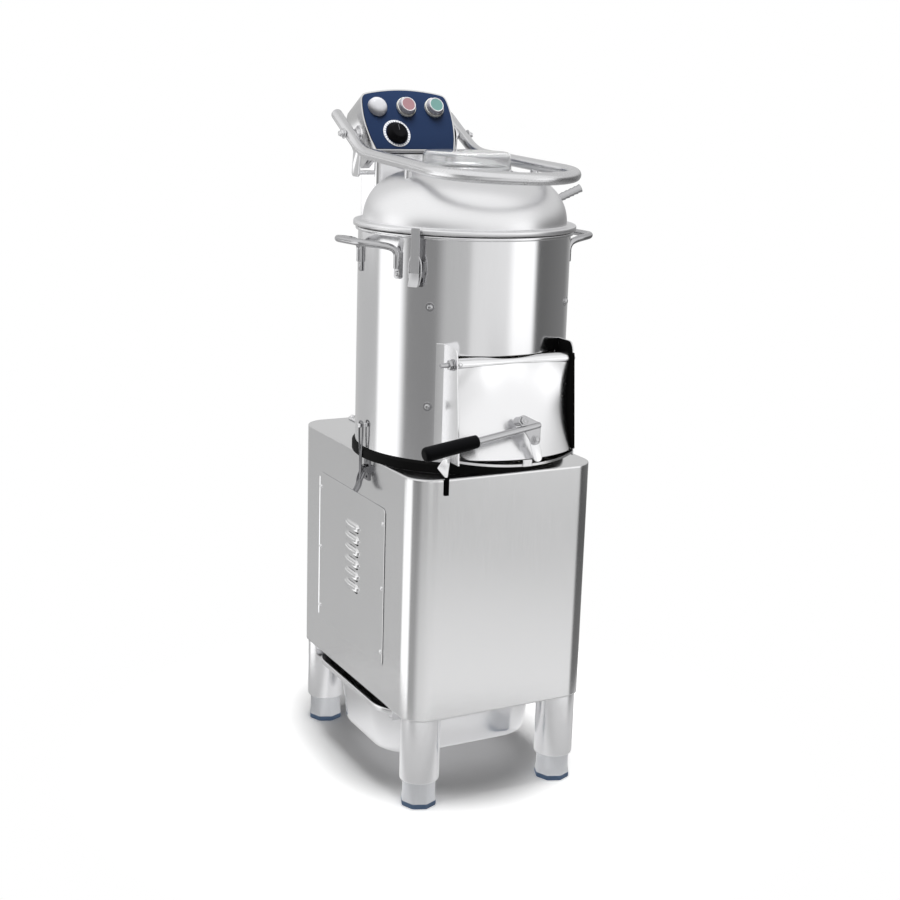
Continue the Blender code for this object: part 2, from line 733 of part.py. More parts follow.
def legs():
    """Four tubular legs, each with a screw foot that winds out of its bush."""
    x = CABINET_SIDE - LEG_INSET_X
    places = (("front_left", -x, LEG_INSET_Y - CABINET_REACH),
              ("front_right", x, LEG_INSET_Y - CABINET_REACH),
              ("back_left", -x, CABINET_BACK - LEG_INSET_Y), ("back_right", x, CABINET_BACK - LEG_INSET_Y))
    top = LEG_LENGTH
    bore = STEM_RADIUS + GAP
    inner = LEG_RADIUS - LEG_WALL
    leg_profile = [(0, top), (LEG_RADIUS, top), (LEG_RADIUS, GAP), (bore, GAP), (bore, LEG_BUSH),
                   (inner, LEG_BUSH),
                   (inner, top - LEG_WALL), (0, top - LEG_WALL)]
    body = FOOT_HEIGHT
    foot_profile = [(0, body + STEM_LENGTH), (STEM_RADIUS, body + STEM_LENGTH), (STEM_RADIUS, body),
                    (FOOT_RADIUS, body), (FOOT_RADIUS, body / 2), (FOOT_FLARE, 2 * FOOT_PAD),
                    (FOOT_FLARE, FOOT_PAD / 2), (FOOT_FLARE - FOOT_PAD / 2, 0), (0, 0)]
    for place, leg_x, leg_y in places:
        turned("leg_" + place, leg_profile, frame, "steel", (leg_x, leg_y, FOOT_HEIGHT), steps=LEG_STEPS)
        turned("foot_" + place, foot_profile, frame, "pad", (leg_x, leg_y, 0), steps=LEG_STEPS)


def basin():
    """The pull-out basin and the two runners that its turned-down edge slides on."""
    rail_top = CABINET_BOTTOM - GAP
    rim_top = CABINET_BOTTOM - BASIN_DROP
    edge_low = rim_top - BASIN_EDGE
    inner = BASIN_WIDTH / 2 + RUNNING + GAP
    ledge = edge_low - GAP
    web = inner + RAIL_SHEET
    section = [(-inner, rail_top), (-web, rail_top), (-web, ledge - RAIL_SHEET),
               (-inner + RAIL_LEDGE, ledge - RAIL_SHEET), (-inner + RAIL_LEDGE, ledge), (-inner, ledge)]
    for name, side in (("front", 1), ("back", -1)):
        outline = [(side * y, z) for y, z in section]
        rail = slab_mesh("basin_rail", [outline], -RAIL_LENGTH / 2, RAIL_LENGTH / 2)
        add("basin_rail_" + name, rail, frame, "steel", (0, CABINET_MIDDLE, 0), SIDEWAYS)

    body = empty("basin_axis", frame, (0, CABINET_MIDDLE, rim_top))
    length = BASIN_LENGTH - 2 * BASIN_LIP
    width = BASIN_WIDTH - 2 * BASIN_SHELF
    corner_steps = CORNER_STEPS + 2

    def build(bm):
        bmesh.ops.create_cube(bm, size=1)
        bmesh.ops.scale(bm, vec=(length, width, BASIN_DEPTH), verts=bm.verts)
        bmesh.ops.translate(bm, vec=(0, 0, -BASIN_DEPTH / 2), verts=bm.verts)
        base = [v for v in bm.verts if v.co.z < -BASIN_DEPTH / 2]
        draft = (1 - 2 * BASIN_DRAFT / length, 1 - 2 * BASIN_DRAFT / width, 1)
        bmesh.ops.scale(bm, vec=draft, verts=base)
        posts = [e for e in bm.edges if abs(e.verts[0].co.z - e.verts[1].co.z) > BASIN_DEPTH / 2]
        bmesh.ops.bevel(bm, geom=posts, offset=BASIN_CORNER, segments=corner_steps, profile=0.5,
                        affect="EDGES")
        soles = [e for f in bm.faces if f.normal.z < -0.9 for e in f.edges]
        bmesh.ops.bevel(bm, geom=soles, offset=BASIN_ROUND, segments=2, profile=0.5, affect="EDGES")
        bmesh.ops.delete(bm, geom=[f for f in bm.faces if f.normal.z > 0.9], context="FACES")
    mesh = mesh_from("peel_basin", build)
    smooth(mesh)
    pan = add("peel_basin", mesh, body, "steel")
    wall = pan.modifiers.new("wall", "SOLIDIFY")
    wall.thickness = BASIN_SHEET
    wall.offset = -1
    outer = rounded(BASIN_LENGTH, BASIN_WIDTH, BASIN_RIM_CORNER, steps=corner_steps)
    trim = 2 * BASIN_SHEET
    mouth = rounded(length - trim / 2, width - trim / 2, BASIN_CORNER - BASIN_SHEET / 2, steps=corner_steps)
    inside_corner = BASIN_RIM_CORNER - BASIN_SHEET
    inside_edge = rounded(BASIN_LENGTH - trim, BASIN_WIDTH - trim, inside_corner, steps=corner_steps)
    lip = slab_mesh("basin_lip", [outer, mouth], -BASIN_SHEET, BITE)
    skirt = slab_mesh("basin_skirt", [outer, inside_edge], -BASIN_EDGE, -BASIN_SHEET / 2)
    join(pan, add("basin_lip", lip, body))
    join(pan, add("basin_skirt", skirt, body))


def vessel():
    """The drum with its opening, the seal and pan under it, and the liner inside it."""
    pan_wall = PAN_RADIUS - SHEET
    boss_bore = PAN_BOSS - SHEET
    boss_top = PAN_FLOOR + SHEET + PAN_BOSS_HEIGHT
    pan_profile = [(PAN_FLANGE, PAN_TOP), (PAN_FLANGE, PAN_TOP - SHEET), (PAN_RADIUS, PAN_TOP - SHEET),
                   (PAN_RADIUS, PAN_FLOOR), (boss_bore, PAN_FLOOR), (boss_bore, boss_top), (PAN_BOSS,
                                                                                            boss_top),
                   (PAN_BOSS, PAN_FLOOR + SHEET), (pan_wall, PAN_FLOOR + SHEET), (pan_wall, PAN_TOP)]
    pan = turned("base_pan", pan_profile, frame, "steel", ring=True)
    outlet = rod_mesh("pan_outlet", DRAIN_RADIUS - DRAIN_WALL, 2 * OVERRUN, steps=LEG_STEPS)
    cut(pan, add("pan_outlet", outlet, frame, None, (DRAIN_DISTANCE, 0, PAN_FLOOR)))
    pipe_low = CABINET_BOTTOM - BASIN_DROP / 2
    pipe_top = PAN_FLOOR - GAP
    pipe = [(DRAIN_RADIUS, pipe_top), (DRAIN_RADIUS, pipe_low), (DRAIN_RADIUS - DRAIN_WALL, pipe_low),
            (DRAIN_RADIUS - DRAIN_WALL, pipe_top)]
    turned("drain_pipe", pipe, frame, "black_plastic", (DRAIN_DISTANCE, 0, 0), ring=True, steps=LEG_STEPS)

    seal_low = PAN_TOP + GAP
    seal_top = seal_low + SEAL_HEIGHT
    seal_out = DRUM_RADIUS + SHEET
    seal = [(seal_out, seal_top), (seal_out, seal_low), (seal_out - SEAL_WIDTH, seal_low),
            (seal_out - SEAL_WIDTH, seal_top)]
    turned("drum_seal", seal, frame, "rubber", ring=True)

    bead = DRUM_RADIUS + DRUM_BEAD
    bead_low = DRUM_RIM - DRUM_BEAD_HEIGHT
    ledge = DRUM_RADIUS - DRUM_LEDGE
    drum_profile = [(bead, DRUM_RIM), (bead, bead_low), (DRUM_RADIUS, bead_low), (DRUM_RADIUS, DRUM_BOTTOM),
                    (ledge, DRUM_BOTTOM), (ledge, DRUM_BOTTOM + SHEET), (DRUM_INNER, DRUM_BOTTOM + SHEET),
                    (DRUM_INNER, DRUM_RIM)]
    drum = turned("drum", drum_profile, frame, "steel", ring=True)
    opening_top = DRUM_BOTTOM + OPENING_TOP
    middle = (OPENING_Z + opening_top) / 2
    mouth = rounded(OPENING_WIDTH, opening_top - OPENING_Z, OPENING_ROUND)
    for target, extra in ((drum, 0.0), (None, SHEET)):
        tool_name = "drum_mouth" if target else "liner_mouth"
        grown = [(x * (1 + 2 * extra / OPENING_WIDTH), y * (1 + 2 * extra / OPENING_WIDTH)) for x, y in mouth]
        tool = add(tool_name, slab_mesh(tool_name, [grown], 0, DRUM_RADIUS + OVERRUN), frame, None,
                   (0, 0, middle),
                   UPRIGHT)
        if target:
            cut(target, tool)
        else:
            liner(tool, drum)
    return drum


def liner(mouth, drum):
    """The abrasive sheet round the drum's wall, with the studs whose heads show outside."""
    outer = DRUM_INNER - GAP
    inner = outer - LINER_SHEET
    low = DISC_TOP + LINER_SHEET
    high = DRUM_RIM - LINER_TOP
    sheet = turned("abrasive_liner", [(outer, high), (outer, low), (inner, low), (inner, high)], frame,
                   "grit",
                   ring=True)
    cut(sheet, mouth)
    studs = []
    holes = []
    for angle in (-45, 45, 135, -135):
        for rise in (STUD_LOW, STUD_HIGH):
            stand = Matrix.Translation((0, 0, DRUM_BOTTOM + rise))
            spin = stand @ looking(radial(math.radians(angle)), (0, 0, 1)).to_4x4()
            reach = DRUM_RADIUS + GAP + STUD_HEAD_DEPTH
            root = inner + LINER_SHEET / 4
            shank = rod_mesh("shank", STUD_RADIUS, reach - root - BITE, "Z",
                             (0, 0, (reach + root - BITE) / 2))
            head = rod_mesh("head", STUD_HEAD, STUD_HEAD_DEPTH, "Z", (0, 0, reach - STUD_HEAD_DEPTH / 2),
                            end_radius=STUD_HEAD * STUD_CROWN_SHARE)
            hole = rod_mesh("hole", STUD_RADIUS + GAP, 2 * OVERRUN, "Z", (0, 0, DRUM_RADIUS))
            for piece, pile in ((shank, studs), (head, studs), (hole, holes)):
                piece.transform(spin)
                pile.append(piece)
    shanks = together("liner_shanks", studs[0::2])
    heads = together("liner_heads", studs[1::2])
    join(sheet, add("liner_shanks", shanks, frame))
    join(sheet, add("liner_heads", heads, frame))
    cut(drum, add("stud_holes", together("stud_holes", holes), frame))


def rotor():
    """What turns: the disc on its spindle with the driven pulley, and what carries them."""
    spin = empty("spindle_axis", frame)
    bore = SPINDLE_RADIUS + GAP
    hub_low = DISC_TOP - DISC_HUB_DROP
    under = DISC_TOP - DISC_SHEET
    skirt = DISC_RADIUS - DISC_SHEET / 2
    crown = DISC_TOP + DISC_SHEET
    disc_profile = [(0, crown), (DISC_HUB, crown), (DISC_HUB + DISC_SHEET, DISC_TOP), (skirt, DISC_TOP),
                    (DISC_RADIUS, DISC_TOP - DISC_SHEET / 3), (DISC_RADIUS, under - DISC_SHEET / 2),
                    (skirt, under - DISC_SHEET / 2), (skirt, under), (DISC_HUB, under), (DISC_HUB, hub_low),
                    (bore, hub_low), (bore, DISC_TOP), (0, DISC_TOP)]
    disc = turned("abrasive_disc", disc_profile, spin, "grit", steps=DISC_STEPS)
    ridges = []
    for i in range(RIDGE_COUNT):
        ridge = rod_mesh("ridge", RIDGE_WIDTH / 2, RIDGE_LENGTH, "X", steps=HUB_STEPS)
        ridge.transform(Matrix.Diagonal((1, 1, 2 * RIDGE_HEIGHT / RIDGE_WIDTH, 1)))
        middle = DISC_HUB + DISC_SHEET + RIDGE_LENGTH / 2
        ridge.transform(Matrix.Translation((middle, 0, DISC_TOP - DISC_SHEET / 6)))
        ridge.transform(Matrix.Rotation(2 * math.pi * i / RIDGE_COUNT, 4, "Z"))
        ridges.append(ridge)
    join(disc, add("disc_ridges", together("disc_ridges", ridges), spin))
    shaft_top = DISC_TOP - GAP
    turned("spindle", [(0, shaft_top), (SPINDLE_RADIUS, shaft_top), (SPINDLE_RADIUS, PULLEY_BOTTOM),
                       (0, PULLEY_BOTTOM)], spin, "steel", steps=LEG_STEPS)
    half = GROOVE_WIDTH / 2
    middle = (PULLEY_TOP + PULLEY_BOTTOM) / 2
    groove = PULLEY_RADIUS - GROOVE_DEPTH
    pulley = [(PULLEY_RADIUS, PULLEY_TOP), (PULLEY_RADIUS, middle + half), (groove, middle),
              (PULLEY_RADIUS, middle - half), (PULLEY_RADIUS, PULLEY_BOTTOM), (bore, PULLEY_BOTTOM),
              (bore, PULLEY_TOP)]
    turned("driven_pulley", pulley, spin, "cast", ring=True, steps=PULLEY_STEPS)

    seat = BEARING_RADIUS + GAP
    neck = (SPINDLE_RADIUS + seat) / 2
    seat_depth = BEARING_WIDTH + 2 * GAP
    flange_low = HOUSING_TOP - HOUSING_FLANGE_SHEET
    housing = [(HOUSING_FLANGE, HOUSING_TOP), (HOUSING_FLANGE, flange_low), (HOUSING_RADIUS, flange_low),
               (HOUSING_RADIUS, HOUSING_BOTTOM), (seat, HOUSING_BOTTOM), (seat, HOUSING_BOTTOM + seat_depth),
               (neck, HOUSING_BOTTOM + seat_depth), (neck, HOUSING_TOP - seat_depth),
               (seat, HOUSING_TOP - seat_depth), (seat, HOUSING_TOP)]
    turned("bearing_housing", housing, frame, "cast", ring=True, steps=LEG_STEPS)
    for name, low in (("upper_bearing", HOUSING_TOP - seat_depth + GAP),
                      ("lower_bearing", HOUSING_BOTTOM + GAP)):
        high = low + BEARING_WIDTH
        turned(name, [(BEARING_RADIUS, high), (BEARING_RADIUS, low), (bore, low), (bore, high)], frame,
               "steel",
               ring=True, steps=LEG_STEPS)
    ring_out = PAN_BOSS - SHEET - GAP
    ring_top = PAN_FLOOR + SHEET + PAN_BOSS_HEIGHT - GAP
    ring_low = ring_top - SEAL_RING_WIDTH
    turned("shaft_seal", [(ring_out, ring_top), (ring_out, ring_low), (bore, ring_low), (bore, ring_top)],
           frame,
           "rubber", ring=True, steps=LEG_STEPS)


def drive():
    """The motor on its bracket, its shaft and pulley, and the belt."""
    motor_axis = empty("motor_axis", frame, (0, MOTOR_DISTANCE, 0))
    low = MOTOR_TOP - MOTOR_HEIGHT
    bore = SHAFT_RADIUS + RUNNING
    bore_low = MOTOR_TOP - SHAFT_GRIP
    bell = MOTOR_RADIUS - MOTOR_BELL
    body = [(0, bore_low), (bore, bore_low), (bore, MOTOR_TOP), (bell, MOTOR_TOP),
            (MOTOR_RADIUS, MOTOR_TOP - MOTOR_BELL),
            (MOTOR_RADIUS, low + MOTOR_BELL), (bell, low), (0, low)]
    turned("motor", body, frame, "motor_grey", (0, MOTOR_DISTANCE, 0), steps=PULLEY_STEPS)
    shaft_low = bore_low + GAP
    shaft = [(0, PULLEY_TOP), (SHAFT_RADIUS, PULLEY_TOP), (SHAFT_RADIUS, shaft_low), (0, shaft_low)]
    turned("motor_shaft", shaft, motor_axis, "steel", steps=LEG_STEPS)
    half = GROOVE_WIDTH / 2
    middle = (PULLEY_TOP + PULLEY_BOTTOM) / 2
    groove = MOTOR_PULLEY_RADIUS - GROOVE_DEPTH
    fit = SHAFT_RADIUS + GAP
    pulley = [(MOTOR_PULLEY_RADIUS, PULLEY_TOP), (MOTOR_PULLEY_RADIUS, middle + half), (groove, middle),
              (MOTOR_PULLEY_RADIUS, middle - half), (MOTOR_PULLEY_RADIUS, PULLEY_BOTTOM), (fit,
                                                                                           PULLEY_BOTTOM),
              (fit, PULLEY_TOP)]
    turned("motor_pulley", pulley, motor_axis, "cast", ring=True, steps=LEG_STEPS)

    loops = []
    for grown in (BELT_THICKNESS, 0):
        wheels = [(0, 0, PULLEY_RADIUS - BELT_SEAT + grown),
                  (0, MOTOR_DISTANCE, MOTOR_PULLEY_RADIUS - BELT_SEAT + grown)]
        loops.append(around(wheels, PULLEY_STEPS))
    belt = slab_mesh("drive_belt", loops, -BELT_HEIGHT / 2, BELT_HEIGHT / 2)
    add("drive_belt", belt, frame, "rubber", (0, 0, middle))

    shelf_low = MOTOR_TOP + GAP
    wall = CABINET_BACK - SHEET - GAP
    plate_top = shelf_low + BRACKET_RISE
    front = MOTOR_DISTANCE - MOTOR_RADIUS
    side = [(wall, shelf_low - BRACKET_RISE), (wall, plate_top), (wall - BRACKET_SHEET, plate_top),
            (wall - BRACKET_SHEET, shelf_low + BRACKET_SHEET), (front, shelf_low + BRACKET_SHEET),
            (front, shelf_low), (wall - BRACKET_SHEET, shelf_low), (wall - BRACKET_SHEET,
                                                                    shelf_low - BRACKET_RISE)]
    bracket = add("motor_bracket", slab_mesh("motor_bracket", [side], -BRACKET_WIDTH / 2, BRACKET_WIDTH / 2),
                  frame,
                  "satin_steel", turn=SIDEWAYS)
    hole = rod_mesh("bracket_hole", MOTOR_RADIUS / 2, 4 * OVERRUN, steps=LEG_STEPS)
    cut(bracket, add("bracket_hole", hole, frame, None, (0, MOTOR_DISTANCE, shelf_low)))


def chute():
    """The welded chute: cheeks with tabs, a sloping floor with a round lip, and the door's catch."""
    half = CHUTE_WIDTH / 2
    top = DRUM_BOTTOM + CHUTE_TOP
    low = CHUTE_FLOOR
    seat = DRUM_RADIUS - SHEET
    back = math.sqrt(seat * seat - (half - CHUTE_SHEET) ** 2)
    side = [(-back, low), (-CHUTE_REACH_LOW, low)]
    corner = (-CHUTE_REACH_TOP + CHUTE_ROUND, top - CHUTE_ROUND)
    for i in range(CORNER_STEPS + 1):
        a = math.pi / 2 * (2 - i / CORNER_STEPS)
        side.append((corner[0] + CHUTE_ROUND * math.cos(a), corner[1] + CHUTE_ROUND * math.sin(a)))
    side.append((-back, top))
    pivot = circle(DOOR_ROD_RADIUS + GAP, (-DOOR_ROD_REACH, DOOR_ROD_Z))
    cheek = slab_mesh("chute", [side, pivot], -CHUTE_SHEET, 0)
    body = add("chute", cheek, frame, "steel", (half, 0, 0), SIDEWAYS)
    other = slab_mesh("chute_cheek", [side, pivot], 0, CHUTE_SHEET)
    join(body, add("chute_cheek", other, frame, None, (-half, 0, 0), SIDEWAYS))

    lip_centre = LIP_REACH - LIP_RADIUS
    ends = half - CHUTE_SHEET / 2
    sweep = math.asin(ends / LIP_RADIUS)
    count = 2 * CORNER_STEPS + 2
    floor = []
    for i in range(count + 1):
        a = -sweep + 2 * sweep * i / count
        floor.append((LIP_RADIUS * math.sin(a), -lip_centre - LIP_RADIUS * math.cos(a)))
    turn_back = math.asin(ends / seat)
    for i in range(count + 1):
        a = turn_back - 2 * turn_back * i / count
        floor.append((seat * math.sin(a), -seat * math.cos(a)))
    plate = slab_mesh("chute_floor", [floor], 0, CHUTE_SHEET)
    for vertex in plate.vertices:
        vertex.co.z += CHUTE_SLOPE * (LIP_REACH + vertex.co.y) / (LIP_REACH - DRUM_RADIUS)
    join(body, add("chute_floor", plate, frame, None, (0, 0, low)))

    start = math.asin((half - CHUTE_SHEET) / seat)
    spread = CHUTE_TAB / seat + CHUTE_SHEET / seat
    for name, sign in (("left", -1), ("right", 1)):
        tab = []
        for radius, order in ((seat, range(CORNER_STEPS + 1)),
                              (DRUM_RADIUS + GAP + SHEET, range(CORNER_STEPS, -1, -1))):
            for i in order:
                a = sign * (start + spread * i / CORNER_STEPS)
                tab.append((radius * math.sin(a), -radius * math.cos(a)))
        strip = slab_mesh("chute_tab_" + name, [tab], low + CHUTE_ROUND, top)
        join(body, add("chute_tab_" + name, strip, frame))

    catch = box_mesh("door_catch", (CATCH_WIDTH, CATCH_SHEET, CATCH_RISE))
    tongue_left = CLAMP_OFFSET + TONGUE_PIN_X + TONGUE_SHIFT - TONGUE_WIDTH / 2
    catch_x = tongue_left - 2 * GAP - CATCH_WIDTH / 2
    catch_front = LIP_REACH + CATCH_SHEET / 2 - BITE
    join(body, add("door_catch", catch, frame, None, (catch_x, -catch_front, low + CATCH_RISE / 2)))
    skin = rod_mesh("chute_fit", DRUM_RADIUS + GAP, 2 * CHUTE_TOP, "Z", (0, 0, 0), DRUM_STEPS)
    cut(body, add("chute_fit", skin, frame, None, (0, 0, DRUM_BOTTOM + CHUTE_TOP / 2)))

    rod_length = CHUTE_WIDTH + 2 * (GAP + NUT_LENGTH)
    rod = rod_mesh("door_hinge_rod", DOOR_ROD_RADIUS, rod_length, "X")
    hinge = add("door_hinge_rod", rod, frame, "steel", (0, -DOOR_ROD_REACH, DOOR_ROD_Z))
    nut_x = half + GAP + NUT_LENGTH / 2
    nuts = [rod_mesh("nut", NUT_RADIUS, NUT_LENGTH, "X", (sign * nut_x, 0, 0), HEX) for sign in (-1, 1)]
    join(hinge, add("rod_nuts", together("rod_nuts", nuts), frame, None, hinge.location))


def door():
    """The curved door on its hinge sleeve, and the clamp lever that holds it shut."""
    hinge = empty("door_axis", frame, (0, -DOOR_ROD_REACH, DOOR_ROD_Z))
    top = DOOR_TOP_RISE
    height = DOOR_TOP_RISE + DOOR_DROP
    half = DOOR_WIDTH / 2
    steps = 2 * CORNER_STEPS + 2
    centre = DOOR_FACE_REACH - DOOR_ROD_REACH - DRUM_RADIUS
    strip = []
    for radius, order in ((DRUM_RADIUS + DOOR_SHEET, range(steps + 1)), (DRUM_RADIUS, range(steps, -1, -1))):
        sweep = math.asin(half / radius)
        for i in order:
            a = -sweep + 2 * sweep * i / steps
            strip.append((radius * math.sin(a), -centre - radius * math.cos(a)))
    sheet = slab_mesh("chute_door", [strip], -DOOR_DROP, top)
    for vertex in sheet.vertices:
        vertex.co.y += math.tan(DOOR_LEAN) * vertex.co.z
    leaf = add("chute_door", sheet, hinge, "steel")
    trim_depth = 2 * DRUM_RADIUS
    edge = rounded(DOOR_WIDTH, height + DOOR_ROUND, DOOR_ROUND, (0, top + DOOR_ROUND / 2 - height / 2))
    keep_inside(leaf, add("door_trim", slab_mesh("door_trim", [edge], -trim_depth, trim_depth), hinge, None,
                          turn=UPRIGHT))
    join(leaf, add("door_sleeve", rod_mesh("door_sleeve", SLEEVE_RADIUS, DOOR_WIDTH, "X", steps=LEG_STEPS),
                   hinge))

    normal = (0, -math.cos(DOOR_LEAN), math.sin(DOOR_LEAN))
    rise = (0, math.sin(DOOR_LEAN), math.cos(DOOR_LEAN))
    tilt = looking(normal, rise)
    face = empty("clamp_face", hinge, (CLAMP_OFFSET, DOOR_ROD_REACH - CLAMP_REACH, -CLAMP_DROP), tilt)
    lug = rod_mesh("clamp_lug", LUG_RADIUS, LUG_HEIGHT + OVERRUN / 2, "Z",
                   (0, 0, (LUG_HEIGHT - OVERRUN / 2) / 2))
    hub_low = LUG_HEIGHT + GAP
    hub_top = hub_low + HUB_SHEET
    pin_top = hub_top + GAP + PIN_RADIUS
    pin = rod_mesh("clamp_pin", PIN_RADIUS, pin_top, "Z", (0, 0, pin_top / 2))
    cap_low = hub_top + GAP
    cap = rod_mesh("clamp_nut", 2 * PIN_RADIUS, PIN_RADIUS, "Z", (0, 0, cap_low + PIN_RADIUS / 2), HEX)
    for stock in (lug, pin, cap):
        join(leaf, add(stock.name, stock, face))
    bore = rod_mesh("sleeve_bore", running_bore(DOOR_ROD_RADIUS), DOOR_WIDTH + 2 * OVERRUN, "X")
    cut(leaf, add("sleeve_bore", bore, hinge))
    lever(face, hub_low, hub_top)


def lever(face, hub_low, hub_top):
    """The clamp lever: a hub plate on the door's pin, a rod with a grip, and the tongue that swings on it."""
    axis = empty("lever_axis", face)
    outline = around([(0, 0, HUB_RADIUS), (LEVER_END_X, LEVER_END_Y, LEVER_ROD_RADIUS),
                      (TONGUE_PIN_X, TONGUE_PIN_Y, HUB_RADIUS)])
    plate = slab_mesh("door_lever", [outline, circle(running_bore(PIN_RADIUS))], hub_low, hub_top)
    arm = add("door_lever", plate, axis, "steel")
    middle = (hub_low + hub_top) / 2
    direction = Vector((math.cos(LEVER_ANGLE), math.sin(LEVER_ANGLE), 0))
    start = Vector((LEVER_END_X, LEVER_END_Y, middle))
    lay = looking(direction, (0, 0, 1))
    rod = rod_mesh("lever_rod", LEVER_ROD_RADIUS, LEVER_LENGTH, "Z", (0, 0, LEVER_LENGTH / 2))
    join(arm, add("lever_rod", rod, axis, None, start, lay))
    pin_low = hub_low - 2 * GAP - TONGUE_SHEET
    pin_top = hub_top + PIN_RADIUS
    tongue_pin = rod_mesh("tongue_pin", PIN_RADIUS, pin_top - pin_low, "Z",
                          (TONGUE_PIN_X, TONGUE_PIN_Y, (pin_top + pin_low) / 2))
    join(arm, add("tongue_pin", tongue_pin, axis))

    grip_bore = LEVER_ROD_RADIUS + GAP
    sunk = LEVER_LENGTH - GRIP_START
    end = GRIP_LENGTH
    grip = [(0, end), (GRIP_RADIUS - PIN_RADIUS, end), (GRIP_RADIUS, end - PIN_RADIUS),
            (GRIP_RADIUS, PIN_RADIUS),
            (GRIP_RADIUS - PIN_RADIUS / 2, 0), (grip_bore, 0), (grip_bore, sunk + GAP), (0, sunk + GAP)]
    turned("lever_grip", grip, axis, "black_plastic", start + direction * GRIP_START, lay, steps=LEG_STEPS)

    swing = empty("tongue_axis", axis, (TONGUE_PIN_X, TONGUE_PIN_Y, 0))
    wide = TONGUE_WIDTH / 2
    blade = [(0, 0, wide), (TONGUE_SHIFT, -TONGUE_DROP + wide, wide), (TONGUE_SHIFT, -TONGUE_DROP / 2, wide)]
    tongue_top = hub_low - GAP
    bore = circle(running_bore(PIN_RADIUS))
    tongue = slab_mesh("clamp_tongue", [around(blade), bore], tongue_top - TONGUE_SHEET, tongue_top)
    add("clamp_tongue", tongue, swing, "steel")


def handles():
    """Two loop handles, each a bent bar between two tangs riveted to the drum."""
    base = DRUM_BOTTOM + HANDLE_BASE
    half = HANDLE_SPAN / 2
    slant = math.asin(half / DRUM_RADIUS)
    tang_out = DRUM_RADIUS + GAP + HANDLE_TANG_SHEET
    depth = math.sqrt(tang_out * tang_out - half * half)
    root = HANDLE_TANG * HANDLE_ROOT_SHARE
    path = []
    for across, out, up in HANDLE_SHARES:
        path.append((half * across, root + (HANDLE_TANG - root + HANDLE_RISE) * up,
                     depth + (HANDLE_REACH - depth) * out))
    points = path + [(-x, y, z) for x, y, z in reversed(path[:-1])]
    for middle, name in ((HANDLE_ANGLE_LEFT, "handle_left"), (HANDLE_ANGLE_RIGHT, "handle_right")):
        spin = looking(radial(middle), (0, 0, 1))
        loop = add(name, tube_mesh(name, points, HANDLE_RADIUS), frame, "steel", (0, 0, base), spin)
        for end in (-1, 1):
            tang = box_mesh("tang", (HANDLE_TANG_WIDTH, HANDLE_TANG, HANDLE_TANG_SHEET))
            rivets = [rod_mesh("rivet", RIVET_RADIUS, HANDLE_TANG_SHEET, "Z",
                               (0, HANDLE_TANG * share, HANDLE_TANG_SHEET * RIVET_STAND_SHARE),
                               end_radius=HANDLE_RADIUS / 2) for share in RIVET_SHARES]
            angle = middle + end * slant
            turn = looking(radial(angle), (0, 0, 1))
            clear = math.sqrt((DRUM_RADIUS + GAP) ** 2 + (HANDLE_TANG_WIDTH / 2) ** 2) - DRUM_RADIUS - GAP
            out = DRUM_RADIUS + 2 * GAP + HANDLE_TANG_SHEET / 2 - clear / 2
            x, y, _ = radial(angle)
            place = (x * out, y * out, base + HANDLE_TANG / 2)
            label = f"{name}_tang_{end}"
            join(loop, add(label, together(label, [tang]), frame, None, place, turn))
            join(loop, add(label + "_rivets", together(label + "_rivets", rivets), frame, None, place, turn))
        skin = rod_mesh(name + "_fit", DRUM_RADIUS + GAP, 4 * HANDLE_TANG, "Z", (0, 0, 0), DRUM_STEPS)
        cut(loop, add(name + "_fit", skin, frame, None, (0, 0, base)))


